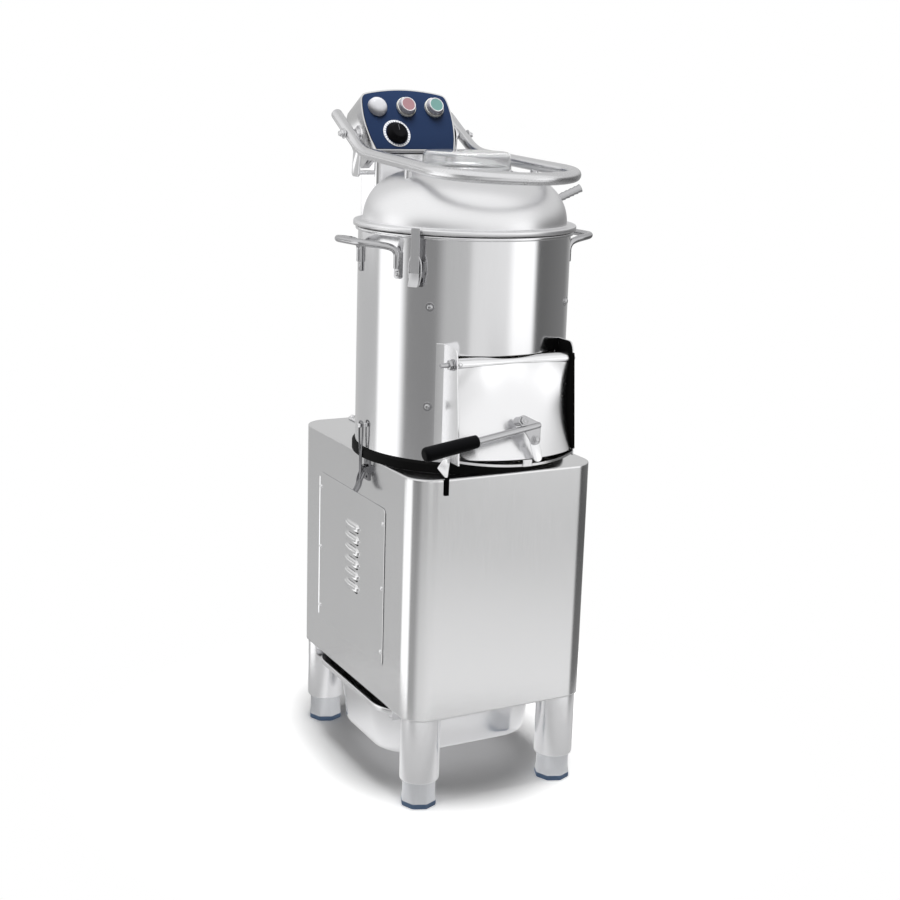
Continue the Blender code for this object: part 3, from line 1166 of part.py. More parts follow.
def toggle(name, carrier, place, turn, strap_top, window, lever_drop):
    """A toggle latch: ears welded to what carries it, a lever on their pin, and a strap on the lever.

    The local frame has Z outward from the face that the latch stands on, Y up, and its origin under the pin.
    """
    face = empty(name + "_face", frame, place, turn)
    wide = LATCH_WIDTH / 2
    plate = box_mesh(name + "_plate", (LATCH_WIDTH + 2 * BITE, LATCH_PLATE_HEIGHT, LATCH_PLATE + LATCH_ROOT),
                     (0, 0, (LATCH_PLATE - LATCH_ROOT) / 2))
    ear_reach = LATCH_PIN_STAND + 2 * LATCH_PIN_RADIUS
    ears = []
    for sign in (-1, 1):
        ears.append(box_mesh("ear", (LATCH_EAR, 4 * LATCH_EAR, ear_reach - BITE),
                             (sign * (wide - LATCH_EAR / 2), 0, (ear_reach + BITE) / 2)))
    pin = rod_mesh(name + "_pin", LATCH_PIN_RADIUS, LATCH_WIDTH - LATCH_EAR, "X", (0, 0, LATCH_PIN_STAND))
    for stock in (plate, together(name + "_ears", ears), pin):
        join(carrier, add(stock.name, stock, face))

    axis = empty(name + "_lever_axis", face, (0, 0, LATCH_PIN_STAND))
    arm_out = STRAP_STAND + STRAP_SHEET / 2 - LATCH_PIN_STAND
    hub = 2 * LATCH_PIN_RADIUS
    lever_side = around([(0, 0, hub), (-LATCH_ARM, arm_out, hub), (LATCH_LEVER_TOP - hub, hub / 2, hub / 2),
                         (-lever_drop, arm_out + hub / 2, hub / 3)], HUB_STEPS)
    pin_hole = circle(running_bore(LATCH_PIN_RADIUS))
    half = LATCH_LEVER_WIDTH / 2
    lay = looking((1, 0, 0), (0, 0, 1))
    arm = add(name + "_lever", slab_mesh(name + "_lever", [lever_side, pin_hole], -half, half), axis, "steel",
              turn=lay)
    strap_pin = rod_mesh(name + "_strap_pin", LATCH_PIN_RADIUS, STRAP_WIDTH, "X", (0, -LATCH_ARM, arm_out))
    join(arm, add(name + "_strap_pin", strap_pin, axis))

    swing = empty(name + "_strap_axis", axis, (0, -LATCH_ARM, arm_out))
    reach = strap_top + LATCH_ARM
    foot = hub + LATCH_PIN_RADIUS
    strap_outline = [(-STRAP_WIDTH / 2, -foot), (STRAP_WIDTH / 2, -foot), (STRAP_WIDTH / 2, reach),
                     (-STRAP_WIDTH / 2, reach)]
    inner = STRAP_WIDTH / 2 - STRAP_LEG
    slot_top = reach - LATCH_BAR if window else 2 * LATCH_ARM
    slot = [(-inner, -foot - OVERRUN), (inner, -foot - OVERRUN), (inner, slot_top), (-inner, slot_top)]
    sheet = STRAP_SHEET / 2
    strap = slab_mesh(name + "_strap", [strap_outline], -sheet, sheet)
    band = add(name + ("_loop" if window else "_strap"), strap, swing, "steel")
    knuckle = rod_mesh(name + "_knuckle", LATCH_PIN_RADIUS + STRAP_SHEET, STRAP_WIDTH, "X", steps=HUB_STEPS)
    join(band, add(name + "_knuckle", knuckle, swing))
    cut(band, add(name + "_slot", slab_mesh(name + "_slot", [slot], -LATCH_ARM, LATCH_ARM), swing))
    eye = rod_mesh(name + "_eye", running_bore(LATCH_PIN_RADIUS), LATCH_WIDTH, "X")
    cut(band, add(name + "_eye", eye, swing))


def latches(shell, drum):
    """The toggle that holds the lid down, and the two that hold the drum on the cabinet."""
    x, y, _ = radial(LID_LATCH_ANGLE)
    place = (x * DRUM_RADIUS, y * DRUM_RADIUS, DRUM_RIM - LID_LATCH_DROP)
    strap_top = LID_LATCH_DROP + LID_SEAT + LID_RIM_HEIGHT + STRAP_SHEET
    toggle("lid_latch", drum, place, looking((x, y, 0), (0, 0, 1)), strap_top, False, LID_LEVER_DROP)
    lug_z = DRUM_BOTTOM + LATCH_LUG_RISE
    pin_z = CABINET_TOP - DRUM_LATCH_DROP
    for sign, name in mirrored("drum_latch"):
        turn = looking((sign, 0, 0), (0, 0, 1))
        loop_top = lug_z + LATCH_LUG_HEIGHT / 2 + GAP + LATCH_BAR - pin_z
        toggle(name, shell, (sign * CABINET_SIDE, 0, pin_z), turn, loop_top, True, DRUM_LEVER_DROP)
        lug_reach = CABINET_SIDE + STRAP_STAND + 2 * STRAP_SHEET
        root = DRUM_RADIUS - BITE
        lug = box_mesh(name + "_lug", (lug_reach - root, LATCH_LUG_WIDTH, LATCH_LUG_HEIGHT))
        join(drum, add(name + "_lug", lug, frame, None, (sign * (lug_reach + root) / 2, 0, lug_z)))


def crown_profile(grown=0.0):
    """The outer line of the lid's dome, from its crown down to its rim."""
    points = []
    steps = 2 * CORNER_STEPS - 1
    waist_z = LID_RIM_TOP + LID_WAIST_RISE
    for i in range(steps + 1):
        a = math.pi / 2 * (1 - i / steps)
        radius = LID_CROWN_RADIUS + (LID_WAIST_RADIUS - LID_CROWN_RADIUS + grown) * math.cos(a)
        points.append((radius, waist_z + (LID_CROWN_Z - waist_z + grown) * math.sin(a)))
    return points


def hinged_lid():
    """The lid with its gasket, clear cap, water inlet and bail, all on the hinge behind the drum."""
    hinge = empty("lid_axis", frame, (0, PIVOT_BACK, PIVOT_Z))
    down = (0, -PIVOT_BACK, -PIVOT_Z)
    skirt_round = LID_SHEET
    outline = [(LID_COLLAR_RADIUS, LID_CROWN_Z + LID_COLLAR_HEIGHT), (LID_COLLAR_RADIUS, LID_CROWN_Z)]
    outline += crown_profile()
    outline += [(LID_BASE_RADIUS, LID_RIM_TOP), (LID_RIM_RADIUS - skirt_round, LID_RIM_TOP),
                (LID_RIM_RADIUS, LID_RIM_TOP - skirt_round), (LID_RIM_RADIUS, LID_BOTTOM)]
    dome = turned("lid", outline, hinge, "satin_steel", down, wall=LID_SHEET)

    gasket_top = LID_RIM_TOP - LID_SHEET - GAP
    gasket_out = LID_RIM_RADIUS - LID_SHEET - 2 * LID_SEAT
    gasket_low = DRUM_RIM + GAP
    turned("lid_gasket", [(gasket_out, gasket_top), (gasket_out, gasket_low),
                          (gasket_out - GASKET_WIDTH, gasket_low),
                          (gasket_out - GASKET_WIDTH, gasket_top)], hinge, "rubber", down, ring=True)

    cap_axis = empty("cap_axis", hinge, down)
    cap_low = LID_CROWN_Z + GAP
    cap_top = cap_low + CAP_HEIGHT
    cap = [(0, cap_top), (CAP_RADIUS - 2 * CAP_WALL, cap_top), (CAP_RADIUS, cap_top - 2 * CAP_WALL),
           (CAP_RADIUS, cap_low + CAP_WALL), (CAP_FLANGE, cap_low + CAP_WALL), (CAP_FLANGE, cap_low),
           (CAP_RADIUS - CAP_WALL, cap_low), (CAP_RADIUS - CAP_WALL, cap_top - 2 * CAP_WALL),
           (CAP_RADIUS - 2 * CAP_WALL, cap_top - CAP_WALL), (0, cap_top - CAP_WALL)]
    turned("lid_cap", cap, cap_axis, "clear", steps=DISC_STEPS)

    water_inlet(hinge, down, dome)
    bail(hinge, down)


def water_inlet(hinge, down, dome):
    """The ribbed hose spigot that stands out of the dome's right side."""
    waist_z = LID_RIM_TOP + LID_WAIST_RISE
    turn_up = INLET_TURN
    radius = LID_CROWN_RADIUS + (LID_WAIST_RADIUS - LID_CROWN_RADIUS) * math.cos(turn_up)
    height = waist_z + (LID_CROWN_Z - waist_z) * math.sin(turn_up)
    x, y, _ = radial(INLET_ANGLE)
    level = math.cos(INLET_PITCH)
    outward = (x * level, y * level, math.sin(INLET_PITCH))
    side = Vector(outward).cross(Vector((0, 0, 1))).normalized()
    spin = looking(outward, side.cross(Vector(outward)))
    place = Vector((x * radius, y * radius, height)) + Vector(down)
    low = -3 * LID_SHEET
    stand = LID_SEAT + GAP
    profile = [(INLET_RADIUS, INLET_LENGTH)]
    pitch = (INLET_LENGTH - stand - INLET_FLANGE_SHEET) / (INLET_RIBS + 1)
    for i in range(INLET_RIBS):
        base = INLET_LENGTH - i * pitch
        profile.append((INLET_RADIUS + INLET_RIB, base - pitch * INLET_RIB_SHARES[0]))
        profile.append((INLET_RADIUS, base - pitch * INLET_RIB_SHARES[1]))
    profile += [(INLET_RADIUS, stand + INLET_FLANGE_SHEET), (INLET_FLANGE, stand + INLET_FLANGE_SHEET),
                (INLET_FLANGE, stand), (INLET_RADIUS, stand), (INLET_RADIUS, low), (INLET_BORE, low),
                (INLET_BORE, INLET_LENGTH)]
    turned("water_inlet", profile, hinge, "steel", place, spin, ring=True, steps=SMALL_STEPS)
    hole = rod_mesh("inlet_hole", INLET_RADIUS + GAP, 6 * OVERRUN, "Z")
    cut(dome, add("inlet_hole", hole, hinge, None, place, spin))


def bail_path():
    """The centre line of the bail: a rear end, a bend, a run forwards, a round corner and the front."""
    end = Vector((BAIL_HALF_REAR, BAIL_END_BACK, DRUM_RIM + BAIL_END_RISE))
    bend = Vector((BAIL_HALF_REAR, BAIL_BEND_BACK, DRUM_RIM + BAIL_BEND_RISE))
    corner = Vector((BAIL_HALF_FRONT, -BAIL_REACH, DRUM_RIM + BAIL_FRONT_RISE))
    start = bend + (end - bend).normalized() * BAIL_BEND_RADIUS
    stop = bend + (corner - bend).normalized() * BAIL_BEND_RADIUS
    half = [end]
    count = CORNER_STEPS + 1
    for i in range(count + 1):
        t = i / count
        half.append(start * (1 - t) ** 2 + bend * 2 * t * (1 - t) + stop * t ** 2)
    fall = (corner.z - bend.z) / (corner.y - bend.y)
    spread = (BAIL_HALF_FRONT - BAIL_HALF_REAR) / (BAIL_BEND_BACK + BAIL_REACH)
    turn_y = -BAIL_REACH + BAIL_CORNER
    half.append(Vector((BAIL_HALF_REAR + spread * BAIL_BEND_BACK, 0, bend.z - fall * bend.y)))
    steps = 3 * CORNER_STEPS
    for i in range(steps + 1):
        a = math.pi / 2 * i / steps
        y = turn_y - BAIL_CORNER * math.sin(a)
        half.append(Vector((BAIL_HALF_FRONT - BAIL_CORNER * (1 - math.cos(a)), y,
                            bend.z + fall * (y - bend.y))))
    return half + [Vector((-p.x, p.y, p.z)) for p in reversed(half)]


def bail(hinge, down):
    """The tubular bail that carries the lid: bored for the hinge pins, with two posts down to the dome."""
    arms = tube_mesh("bail_handle", bail_path(), BAIL_RADIUS)
    bar = add("bail_handle", arms, hinge, "steel", down)
    fall = (BAIL_BEND_RISE - BAIL_FRONT_RISE) / (BAIL_BEND_BACK + BAIL_REACH)
    spread = (BAIL_HALF_FRONT - BAIL_HALF_REAR) / (BAIL_BEND_BACK + BAIL_REACH)
    post_x = BAIL_HALF_REAR + spread * (BAIL_BEND_BACK + BAIL_POST_REACH)
    post_z = DRUM_RIM + BAIL_BEND_RISE - fall * (BAIL_BEND_BACK + BAIL_POST_REACH)
    post_low = LID_RIM_TOP + LID_WAIST_RISE
    posts = [rod_mesh("post", BAIL_POST_RADIUS, post_z - post_low, "Z",
                      (sign * post_x, -BAIL_POST_REACH, (post_z + post_low) / 2)) for sign in (-1, 1)]
    join(bar, add("bail_posts", together("bail_posts", posts), hinge, None, down))
    dome = [(0, LID_CROWN_Z + GAP)] + crown_profile(GAP) + [(LID_BASE_RADIUS, LID_RIM_TOP), (0, LID_RIM_TOP)]
    cut(bar, turned("dome_fit", dome, hinge, None, down))
    bores = [rod_mesh("bore", running_bore(PIVOT_PIN_RADIUS), 4 * BAIL_RADIUS, "X",
                      (sign * BAIL_HALF_REAR, 0, 0))
             for sign in (-1, 1)]
    cut(bar, add("bail_bores", together("bail_bores", bores), hinge))


def face_outline(grown=0.0):
    """The outline of the console's face, from the middle of its lower edge round and back."""
    wide = 1 + grown / FACE_HALF
    tall = 1 + 2 * grown / FACE_HEIGHT
    side = [(FACE_HALF * x * wide, (FACE_HEIGHT * y - FACE_HEIGHT / 2) * tall + FACE_HEIGHT / 2)
            for x, y in FACE_SIDE_SHARES]
    top = [(0, (FACE_HEIGHT / 2) * tall + FACE_HEIGHT / 2)]
    return side + top + [(-x, y) for x, y in reversed(side)]


def console():
    """The column with the lid's hinge ears, the tilted head, and what is in its face."""
    up = (0, math.cos(HEAD_TILT), math.sin(HEAD_TILT))
    out = (0, -math.sin(HEAD_TILT), math.cos(HEAD_TILT))
    face = empty("console_face", frame, (0, HEAD_BACK, HEAD_Z), looking(out, up))
    foot_z = CABINET_TOP + GAP
    height = PIVOT_Z - foot_z
    outer = rounded(COLUMN_WIDTH, COLUMN_DEPTH, COLUMN_CORNER)
    inner = rounded(COLUMN_WIDTH - 2 * COLUMN_WALL, COLUMN_DEPTH - 2 * COLUMN_WALL,
                    COLUMN_CORNER - COLUMN_WALL)
    column = add("console_column", slab_mesh("console_column", [outer, inner], COLUMN_FOOT_SHEET / 2,
                                             height), frame,
                 "steel", (0, COLUMN_BACK, foot_z))
    flange = rounded(COLUMN_WIDTH + 2 * COLUMN_FOOT, COLUMN_DEPTH + 2 * COLUMN_FOOT, COLUMN_CORNER)
    throat = rounded(COLUMN_WIDTH - COLUMN_WALL, COLUMN_DEPTH - COLUMN_WALL, COLUMN_CORNER - COLUMN_WALL / 2)
    foot = slab_mesh("column_foot", [flange, throat], 0, COLUMN_FOOT_SHEET)
    join(column, add("column_foot", foot, frame, None, (0, COLUMN_BACK, foot_z)))
    room = 4 * FACE_HEIGHT
    above = box_mesh("head_room", (room, room, room), (0, room / 2 - HEAD_WALL - GAP, 0))
    cut(column, add("head_room", above, face))
    hinge_ears(column)

    head = add("console_head", slab_mesh("console_head", [face_outline(HEAD_WALL)], -HEAD_DEPTH, 0), face,
               "satin_steel")
    hollow = slab_mesh("head_hollow", [face_outline()], HEAD_WALL - HEAD_DEPTH, OVERRUN)
    cut(head, add("head_hollow", hollow, face))
    way = box_mesh("head_way", (COLUMN_WIDTH / 2, 2 * OVERRUN, HEAD_DEPTH / 3), (0, 0, -HEAD_DEPTH / 2))
    cut(head, add("head_way", way, face))
    controls(face)


def hinge_ears(column):
    """The ears beside the column that hold the lid's hinge pins, with their washers and nuts."""
    ear_in = FACE_HALF + HEAD_WALL + 2 * SHEET
    ear_middle = ear_in + EAR_SHEET / 2
    drop = PIVOT_Z - EAR_DROP
    pin_end = BAIL_HALF_REAR + BAIL_RADIUS + GAP + WASHER_SHEET + PIVOT_NUT_LENGTH
    washer = BAIL_HALF_REAR + BAIL_RADIUS + GAP + WASHER_SHEET / 2
    root = COLUMN_WIDTH / 2 - COLUMN_WALL / 2
    for sign, name in mirrored("ear"):
        outline = around([(PIVOT_BACK, PIVOT_Z, EAR_ROUND),
                          (COLUMN_BACK - EAR_WIDTH / 4, drop, EAR_WIDTH / 4),
                          (COLUMN_BACK + EAR_WIDTH / 4, drop, EAR_WIDTH / 4)])
        plate = slab_mesh(name, [outline], 0, EAR_SHEET)
        left = ear_in if sign > 0 else -ear_in - EAR_SHEET
        join(column, add(name, plate, frame, None, (left, 0, 0), SIDEWAYS))
        step = box_mesh(name + "_step", (ear_middle - root, EAR_WIDTH - 2 * EAR_SHEET, 2 * EAR_SHEET),
                        (sign * (ear_middle + root) / 2, COLUMN_BACK, drop))
        join(column, add(name + "_step", step, frame))
        spacer_end = BAIL_HALF_REAR - BAIL_RADIUS - GAP
        spacer = rod_mesh(name + "_spacer", 2 * PIVOT_PIN_RADIUS - GAP, spacer_end - ear_middle, "X",
                          (sign * (ear_middle + spacer_end) / 2, 0, 0))
        join(column, add(name + "_spacer", spacer, frame, None, (0, PIVOT_BACK, PIVOT_Z)))
        length = pin_end - ear_middle
        pin = rod_mesh(name + "_pin", PIVOT_PIN_RADIUS, length, "X", (sign * (pin_end - length / 2), 0, 0))
        join(column, add(name + "_pin", pin, frame, None, (0, PIVOT_BACK, PIVOT_Z)))
        disc = rod_mesh(name + "_washer", EAR_ROUND, WASHER_SHEET, "X", (sign * washer, 0, 0), LEG_STEPS)
        join(column, add(name + "_washer", disc, frame, None, (0, PIVOT_BACK, PIVOT_Z)))
        nut_end = pin_end - WASHER_SHEET / 2
        nut_middle = sign * (nut_end + washer) / 2
        nut = rod_mesh(name + "_nut", 2 * PIVOT_PIN_RADIUS, nut_end - washer, "X", (nut_middle, 0, 0), HEX)
        join(column, add(name + "_nut", nut, frame, None, (0, PIVOT_BACK, PIVOT_Z)))


def controls(face):
    """The face panel with its lamp, two buttons and timer knob, and the units behind them."""
    middle = BUTTON_SHIFT
    spots = {"indicator_lamp": middle - BUTTON_PITCH, "stop_button": middle,
             "start_button": middle + BUTTON_PITCH}
    fit = -GAP
    holes = [circle(BUTTON_STEM + GAP, (x, BUTTON_HEIGHT), LEG_STEPS) for x in spots.values()]
    holes.append(circle(KNOB_SHAFT + GAP, (KNOB_X, KNOB_Y), LEG_STEPS))
    panel = add("control_panel", slab_mesh("control_panel", [face_outline(fit)] + holes, -FACE_SHEET, 0),
                face, "navy")
    bezel_in = BUTTON_RADIUS + GAP
    bezel_out = bezel_in + BEZEL_WALL
    for name in ("stop_button", "start_button"):
        ring = [(bezel_out, BEZEL_PROUD), (bezel_out, -BITE), (bezel_in, -BITE), (bezel_in, BEZEL_PROUD)]
        join(panel, turned(name + "_bezel", ring, face, None, (spots[name], BUTTON_HEIGHT, 0), ring=True,
                           steps=LEG_STEPS))
    stem_low = -FACE_SHEET - 2 * GAP - BUTTON_TRAVEL
    for name, colour in (("stop_button", "red"), ("start_button", "green")):
        axis = empty(name + "_axis", face, (spots[name], BUTTON_HEIGHT, 0))
        low = BUTTON_TRAVEL + 2 * GAP
        edge = BUTTON_RADIUS - BEZEL_WALL
        profile = [(0, BUTTON_PROUD), (edge - BEZEL_WALL, BUTTON_PROUD),
                   (edge, BUTTON_PROUD - BEZEL_WALL / 2),
                   (BUTTON_RADIUS, BEZEL_PROUD), (BUTTON_RADIUS, low), (BUTTON_STEM, low), (BUTTON_STEM,
                                                                                            stem_low),
                   (0, stem_low)]
        turned(name, profile, axis, colour, steps=LEG_STEPS)
    edge = LAMP_RADIUS - BEZEL_WALL
    lamp = [(0, LAMP_PROUD), (edge - BEZEL_WALL, LAMP_PROUD), (edge, LAMP_PROUD - BEZEL_WALL),
            (LAMP_RADIUS, GAP),
            (BUTTON_STEM, GAP), (BUTTON_STEM, stem_low), (0, stem_low)]
    turned("indicator_lamp", lamp, face, "white", (spots["indicator_lamp"], BUTTON_HEIGHT, 0),
           steps=LEG_STEPS)

    knob_axis = empty("timer_axis", face, (KNOB_X, KNOB_Y, 0))
    shaft_low = -FACE_SHEET - UNIT_DEPTH / 2
    knob = [(0, KNOB_PROUD), (KNOB_FACE_RADIUS, KNOB_PROUD), (KNOB_RADIUS, KNOB_STAND + BEZEL_WALL),
            (KNOB_RADIUS, KNOB_STAND), (KNOB_SHAFT, KNOB_STAND), (KNOB_SHAFT, shaft_low), (0, shaft_low)]
    dial = turned("timer_knob", knob, knob_axis, "black_plastic", steps=LEG_STEPS)
    mark = box_mesh("knob_mark", (BEZEL_WALL, KNOB_RADIUS, BEZEL_WALL), (0, KNOB_RADIUS / 2, KNOB_PROUD))
    cut(dial, add("knob_mark", mark, knob_axis))

    back = -FACE_SHEET - GAP
    block_x = middle + BUTTON_PITCH / 2
    block = box_mesh("switch_block", (BLOCK_WIDTH, BLOCK_HEIGHT, UNIT_DEPTH),
                     (block_x, BUTTON_HEIGHT, back - UNIT_DEPTH / 2))
    wells = [rod_mesh("well", BUTTON_STEM + GAP, 6 * BUTTON_TRAVEL, "Z", (spots[n], BUTTON_HEIGHT, back),
                      LEG_STEPS)
             for n in ("stop_button", "start_button")]
    cut(add("switch_block", block, face, "black_plastic"),
        add("block_wells", together("block_wells", wells), face))
    unit = box_mesh("timer_unit", (UNIT_SIZE, UNIT_SIZE, UNIT_DEPTH), (KNOB_X, KNOB_Y, back - UNIT_DEPTH / 2))
    well = rod_mesh("timer_well", KNOB_SHAFT + GAP, 2 * UNIT_DEPTH * UNIT_WELL_SHARE, "Z",
                    (KNOB_X, KNOB_Y, back), LEG_STEPS)
    cut(add("timer_unit", unit, face, "white"), add("timer_well", well, face))


def gland():
    """The cable gland low on the cabinet's back."""
    root = -SHEET - 2 * GLAND_RADIUS / 3
    seat = GAP
    neck = GLAND_FLANGE * GLAND_NECK_SHARE
    profile = [(neck, GLAND_PROUD), (GLAND_FLANGE, GLAND_PROUD / 2), (GLAND_FLANGE, seat),
               (GLAND_RADIUS, seat),
               (GLAND_RADIUS, root), (GLAND_BORE, root), (GLAND_BORE, GLAND_PROUD)]
    turned("power_gland", profile, frame, "black_plastic",
           (GLAND_X, CABINET_BACK, CABINET_BOTTOM + GLAND_RISE),
           looking((0, 1, 0), (0, 0, 1)), ring=True, steps=SMALL_STEPS)


body_shell = cabinet()
basin()
drum_body = vessel()
rotor()
drive()
chute()
door()
handles()
latches(body_shell, drum_body)
hinged_lid()
console()
gland()
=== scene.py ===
"""Dresses the floor-standing potato peeler in its finished shapes and surfaces.

Places are written in metres from the drum's axis: +X to the right, +Y to the back, +Z up, and the floor is at
zero.
"""
from __future__ import annotations

import logging
import math
from dataclasses import dataclass, field
from enum import Enum
from typing import Any, Sequence

import bmesh
import bpy
import numpy as np
from mathutils import Matrix

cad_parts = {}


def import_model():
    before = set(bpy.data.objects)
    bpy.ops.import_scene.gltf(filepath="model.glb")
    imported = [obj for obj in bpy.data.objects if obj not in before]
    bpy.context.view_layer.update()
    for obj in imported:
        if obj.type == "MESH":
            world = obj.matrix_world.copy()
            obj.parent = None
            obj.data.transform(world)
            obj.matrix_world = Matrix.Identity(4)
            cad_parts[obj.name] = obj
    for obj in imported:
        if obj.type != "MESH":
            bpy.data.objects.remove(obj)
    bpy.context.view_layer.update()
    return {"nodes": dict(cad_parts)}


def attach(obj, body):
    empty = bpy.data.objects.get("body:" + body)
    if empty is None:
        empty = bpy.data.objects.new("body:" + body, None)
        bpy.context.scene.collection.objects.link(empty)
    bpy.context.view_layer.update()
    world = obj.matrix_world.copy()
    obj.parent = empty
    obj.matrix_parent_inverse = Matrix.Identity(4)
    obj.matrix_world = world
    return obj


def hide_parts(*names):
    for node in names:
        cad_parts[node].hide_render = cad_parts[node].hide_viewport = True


LOG = logging.getLogger("peeler")
AXIS_Y = -0.0264128
MM = 0.001
TINY = 1e-12
DOUBLES = 2e-6
SLIVERS = 1e-7
SOFT_ANGLE = 34.0
CRISP_ANGLE = 20.0
RIGHT = (1, 0, 0)
FRONT = (0, -1, 0)
SIDES = (-1, 1)
QUARTER = math.pi / 2
Array = np.ndarray
Pair = tuple[float, float]
Triple = tuple[float, float, float]


class Grain(Enum):
    """The direction that a brushed sheet's fine lines run in."""

    UP = (60.0, 60.0, 2.5)
    ROUND = (9.0, 9.0, 60.0)
    NONE = (40.0, 40.0, 40.0)


@dataclass(frozen=True)
class Place:
    """A local frame: where its origin is and which way its three directions point."""

    origin: Triple = (0.0, 0.0, 0.0)
    across: Triple = (1.0, 0.0, 0.0)
    up: Triple = (0.0, 1.0, 0.0)
    out: Triple = (0.0, 0.0, 1.0)

    def lay(self, points: Array) -> Array:
        """Puts local points in the machine: origin + x across + y up + z out."""
        return np.asarray(self.origin) + points @ np.array([self.across, self.up, self.out], dtype=float)

    @classmethod
    def facing(cls, origin: Sequence[float], out: Sequence[float],
               up: Sequence[float] = (0, 0, 1)) -> "Place":
        """Makes a frame whose third direction points outwards.

        Args:
            origin: The frame's origin.
            out: The direction that its third axis points in.
            up: The direction that its second axis points in, square to the third.

        Returns:
            The frame, with its first axis square to the other two.
        """
        z = np.asarray(out, dtype=float) / np.linalg.norm(out)
        y = np.asarray(up, dtype=float) / np.linalg.norm(up)
        return cls(tuple(map(float, origin)), tuple(np.cross(y, z)), tuple(y), tuple(z))


LYING_X = Place.facing((0, 0, 0), RIGHT)


class Shape:
    """Points and faces that are gathered for one piece."""

    def __init__(self) -> None:
        """Starts with nothing."""
        self.points: list[Array] = []
        self.faces: list[list[int]] = []
        self.count = 0

    def grid(self, points: Array, wrap_u: bool = False, wrap_v: bool = False,
             keep: Array | None = None) -> "Shape":
        """Adds a surface of four-sided faces over a grid of points.

        Args:
            points: The points, indexed by the two parameters.
            wrap_u: Whether the last row joins the first.
            wrap_v: Whether the last column joins the first.
            keep: Which cells are kept, all of them if not given.

        Returns:
            This shape.
        """
        n, m = points.shape[:2]
        rows = np.arange(n if wrap_u else n - 1)
        cols = np.arange(m if wrap_v else m - 1)
        i, j = np.meshgrid(rows, cols, indexing="ij")
        if keep is not None:
            i, j = i[keep], j[keep]
        a, b = i % n, (i + 1) % n
        c, d = j % m, (j + 1) % m
        quads = np.stack([a * m + c, a * m + d, b * m + d, b * m + c], axis=-1).reshape(-1, 4)
        self.faces += (quads + self.count).tolist()
        self.points.append(points.reshape(-1, 3))
        self.count += n * m
        return self

    def lid(self, ring: Array) -> "Shape":
        """Closes a ring of points with one flat face."""
        self.faces.append(list(range(self.count, self.count + len(ring))))
        self.points.append(np.asarray(ring, dtype=float))
        self.count += len(ring)
        return self

    def add(self, other: "Shape", place: Place | None = None) -> "Shape":
        """Adds another shape, laid in a place if one is given."""
        points = np.concatenate(other.points)
        self.faces += [[index + self.count for index in face] for face in other.faces]
        self.points.append(place.lay(points) if place else points)
        self.count += len(points)
        return self

    def laid(self, place: Place) -> "Shape":
        """A copy of this shape in a place."""
        return Shape().add(self, place)

    def hem(self, front: Array, rear: Array) -> "Shape":
        """Joins two sheets of points along their four borders."""
        for pick in ((slice(None), 0), (slice(None), -1), (0, slice(None)), (-1, slice(None))):
            self.grid(np.stack([front[pick], rear[pick]]))
        return self


def eased(corners: Sequence[Sequence[float]], radius: float | Sequence[float], steps: int = 5,
          closed: bool = False) -> Array:
    """Rounds the corners of a line.

    A corner P becomes the curve (1-t)^2 A + 2t(1-t) P + t^2 B, where A and B lie on its two sides, a radius
    from P. On a long side one more point, a little further from P, holds the flat.

    Args:
        corners: The line's corners, in two or three dimensions.
        radius: One distance for all corners, or one for each.
        steps: Points along each corner.
        closed: Whether the line returns to its start.

    Returns:
        The points of the rounded line.
    """
    hold, most, long = 1.35, 0.49, 4
    line = np.asarray(corners, dtype=float)
    radii = np.broadcast_to(np.asarray(radius, dtype=float), (len(line),))
    sides = [np.roll(line, shift, 0) - line for shift in (1, -1)]
    lengths = [np.linalg.norm(side, axis=1, keepdims=True) + TINY for side in sides]
    t = np.linspace(0, 1, steps)[:, None]
    parts = []
    for k, corner in enumerate(line):
        if (not closed and k in (0, len(line) - 1)) or radii[k] <= 0:
            parts.append(corner[None])
            continue
        a, b = [corner + side[k] / length[k] * min(radii[k], length[k, 0] * most)
                for side, length in zip(sides, lengths)]
        flats = [(corner + side[k] / length[k] * (hold * radii[k]))[None] if length[k, 0] > long * radii[k]
                 else corner[None][:0] for side, length in zip(sides, lengths)]
        parts += [flats[0], (1 - t) ** 2 * a + 2 * t * (1 - t) * corner + t ** 2 * b, flats[1]]
    return np.vstack(parts)


def smoothed(path: Sequence[Sequence[float]], rounds: int = 3) -> Array:
    """Cuts a path's corners: each side gives points at 1/4 and 3/4 of its length, and the ends stay."""
    line = np.asarray(path, dtype=float)
    for _ in range(rounds):
        first, last = line[:-1], line[1:]
        inner = np.stack([0.75 * first + 0.25 * last, 0.25 * first + 0.75 * last], axis=1)
        line = np.vstack([line[:1], inner.reshape(-1, line.shape[1])[1:-1], line[-1:]])
    return line


def circle(radius: float, steps: int) -> Array:
    """The points radius (cos a, sin a) of a circle."""
    a = np.linspace(0, 2 * math.pi, steps, endpoint=False)
    return radius * np.stack([np.cos(a), np.sin(a)], axis=1)


def arc(radius: float, angles: Array) -> Array:
    """The points radius (sin a, -cos a), whose angles are counted from the machine's front."""
    return np.stack([radius * np.sin(angles), -radius * np.cos(angles)], axis=1)


def bearing(angle: float, reach: float = 1.0, height: float = 0.0) -> Triple:
    """The point (reach sin a, -reach cos a, height), with its angle counted from the machine's front."""
    return (math.sin(angle) * reach, -math.cos(angle) * reach, height)


